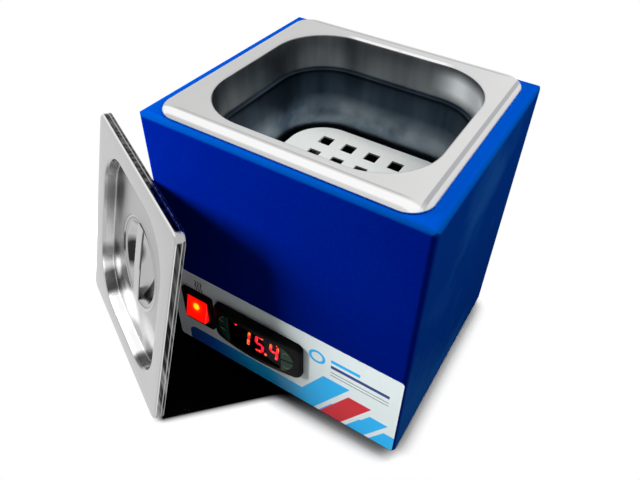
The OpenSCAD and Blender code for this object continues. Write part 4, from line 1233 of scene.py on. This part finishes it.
# %% Floor
FLOOR_HALF, FLOOR_R = 2200.0, 300.0
# How far from the casing the floor begins to glow, and over what width.
BARE_FROM, BARE_SOFT = 7.0, 11.0
# The wedge's open side is a line from the lid's foot towards the casing: y = slope * x - offset.
WEDGE_SLOPE, WEDGE_OFFSET, WEDGE_REAR_Y = 1.05, 90.0, -20.0
# How far the two occlusion readings look, in metres: into the nooks, and across the wedge.
NOOK_REACH, GAP_REACH = 0.02, 0.16


def seen_directly(finish):
    """1 for rays from the camera and for those that mirrors and glass pass on, 0 for the rest."""
    kinds = ("Is Camera Ray", "Is Glossy Ray", "Is Transmission Ray")
    return strongest(*(finish.add("ShaderNodeLightPath", take=kind) for kind in kinds))


def occlusion(finish, reach, samples):
    """1 in the open, less where other surfaces lie within the reach, in metres."""
    settings, inputs = {"samples": samples}, {"Distance": reach}
    return finish.add("ShaderNodeAmbientOcclusion", settings, inputs, take="AO")


def behind_lid(x, y):
    """1 on the floor between the lid and the casing."""
    past_foot = (x - lid_foot.x) * math.sin(YAW) + (y - lid_foot.y) * math.cos(YAW)
    past_line = y - x * WEDGE_SLOPE + WEDGE_OFFSET
    wedge = band(past_foot, -3.0, FAR, 7.0) * band(past_line, 0.0, FAR, 8.0)
    return wedge * band(y, -FAR, WEDGE_REAR_Y, 40.0)


def make_paper():
    paper = Finish("white_paper")
    x, y, z = paper.place()
    beside = (abs(x) - CASING_W / 2).at_least(0.0)
    before = (abs(y) - CASING_D / 2).at_least(0.0)
    wedge = behind_lid(x, y)
    bare = band(distance(beside, before), BARE_FROM, FAR, BARE_SOFT) * (1.0 - wedge)
    nook = occlusion(paper, NOOK_REACH, 16)
    gap = strongest(band(occlusion(paper, GAP_REACH, 32), 0.64, FAR, 0.14), 1.0 - wedge)
    dark = paper.add("ShaderNodeBsdfDiffuse", {}, {"Color": grey(3)})
    pale = paper.add("ShaderNodeBsdfDiffuse", {}, {"Color": grey(255)})
    glow = paper.add("ShaderNodeEmission", {}, {"Color": grey(255), "Strength": 1.0})
    seen = paper.blend(bare, paper.blend(nook * nook * gap, dark, pale), glow)
    bounce = paper.add("ShaderNodeBsdfDiffuse", {}, {"Color": grey(130)})
    return paper.show(paper.blend(seen_directly(paper), bounce, seen))


def make_floor():
    rings = []
    for share in (1.0, 0.4, 0.1, 0.01):
        half = FLOOR_HALF * share
        rings.append(rounded_ring(half, half, FLOOR_R * share, -0.05, 8, 4))
    floor = skin("studio_floor", rings, end="cap")
    floor.data.materials.append(make_paper())


make_floor()

# %% [markdown]
# Three square lamps: a key lamp low at the left, which throws the lid's soft shadow on the casing, a
# weaker one high over the pan, and a wide one high at the right. None of them shows in reflections,
# so no glare spot sits on the steel.

# %% Surround and lamps
SURROUND_LIGHT = 0.04
# Lamps: name, place and aim in metres, side in metres, power in watts.
SOFT_LAMPS = (
    ("key_lamp", (-0.49, -0.335, 0.312), (-0.02, -0.04, 0.16), 0.29, 9.8),
    ("top_lamp", (0.05, 0.14, 1.25), (0.0, 0.0, 0.22), 0.35, 11.0),
    ("right_lamp", (0.64, 0.1, 0.85), (0.05, 0.0, 0.15), 0.6, 9.0),
)


def make_surround():
    world = bpy.data.worlds.new("white_surround")
    bpy.context.scene.world = world
    sky = Finish("white_surround", world)
    white = {"Color": grey(255)}
    dim = sky.add("ShaderNodeBackground", {}, {**white, "Strength": SURROUND_LIGHT})
    full = sky.add("ShaderNodeBackground", {}, {**white, "Strength": 1.0})
    sky.show(sky.blend(seen_directly(sky), dim, full))


def soft_lamp(name, spot, aim, size, watts):
    light = bpy.data.lights.new(name, "AREA")
    light.shape = "SQUARE"
    light.size = size
    light.energy = watts
    lamp = bpy.data.objects.new(name, light)
    lamp.location = spot
    lamp.rotation_euler = (Vector(aim) - Vector(spot)).to_track_quat("-Z", "Y").to_euler()
    lamp.visible_glossy = False
    bpy.context.scene.collection.objects.link(lamp)
    print(f"{name}: {watts} W")


make_surround()
for lamp in SOFT_LAMPS:
    soft_lamp(*lamp)

# %% [markdown]
# The camera looks down from the front right. Its place, angle and lens were worked out from the
# object's own straight edges.

# %% Camera
CAMERA_AT = (0.153752, -0.291067, 0.408456)
CAMERA_TURN = (49.643, -2.093, 31.086)


def make_camera():
    data = bpy.data.cameras.new("camera")
    data.sensor_width = 36.0
    data.lens = 33.259
    data.shift_x, data.shift_y = -0.019645, -0.053609
    camera = bpy.data.objects.new("camera", data)
    camera.location = CAMERA_AT
    camera.rotation_euler = [math.radians(angle) for angle in CAMERA_TURN]
    bpy.context.scene.collection.objects.link(camera)
    bpy.context.scene.camera = camera
    bpy.context.scene.view_settings.view_transform = "Standard"
    print("camera at", CAMERA_AT, "m")


make_camera()
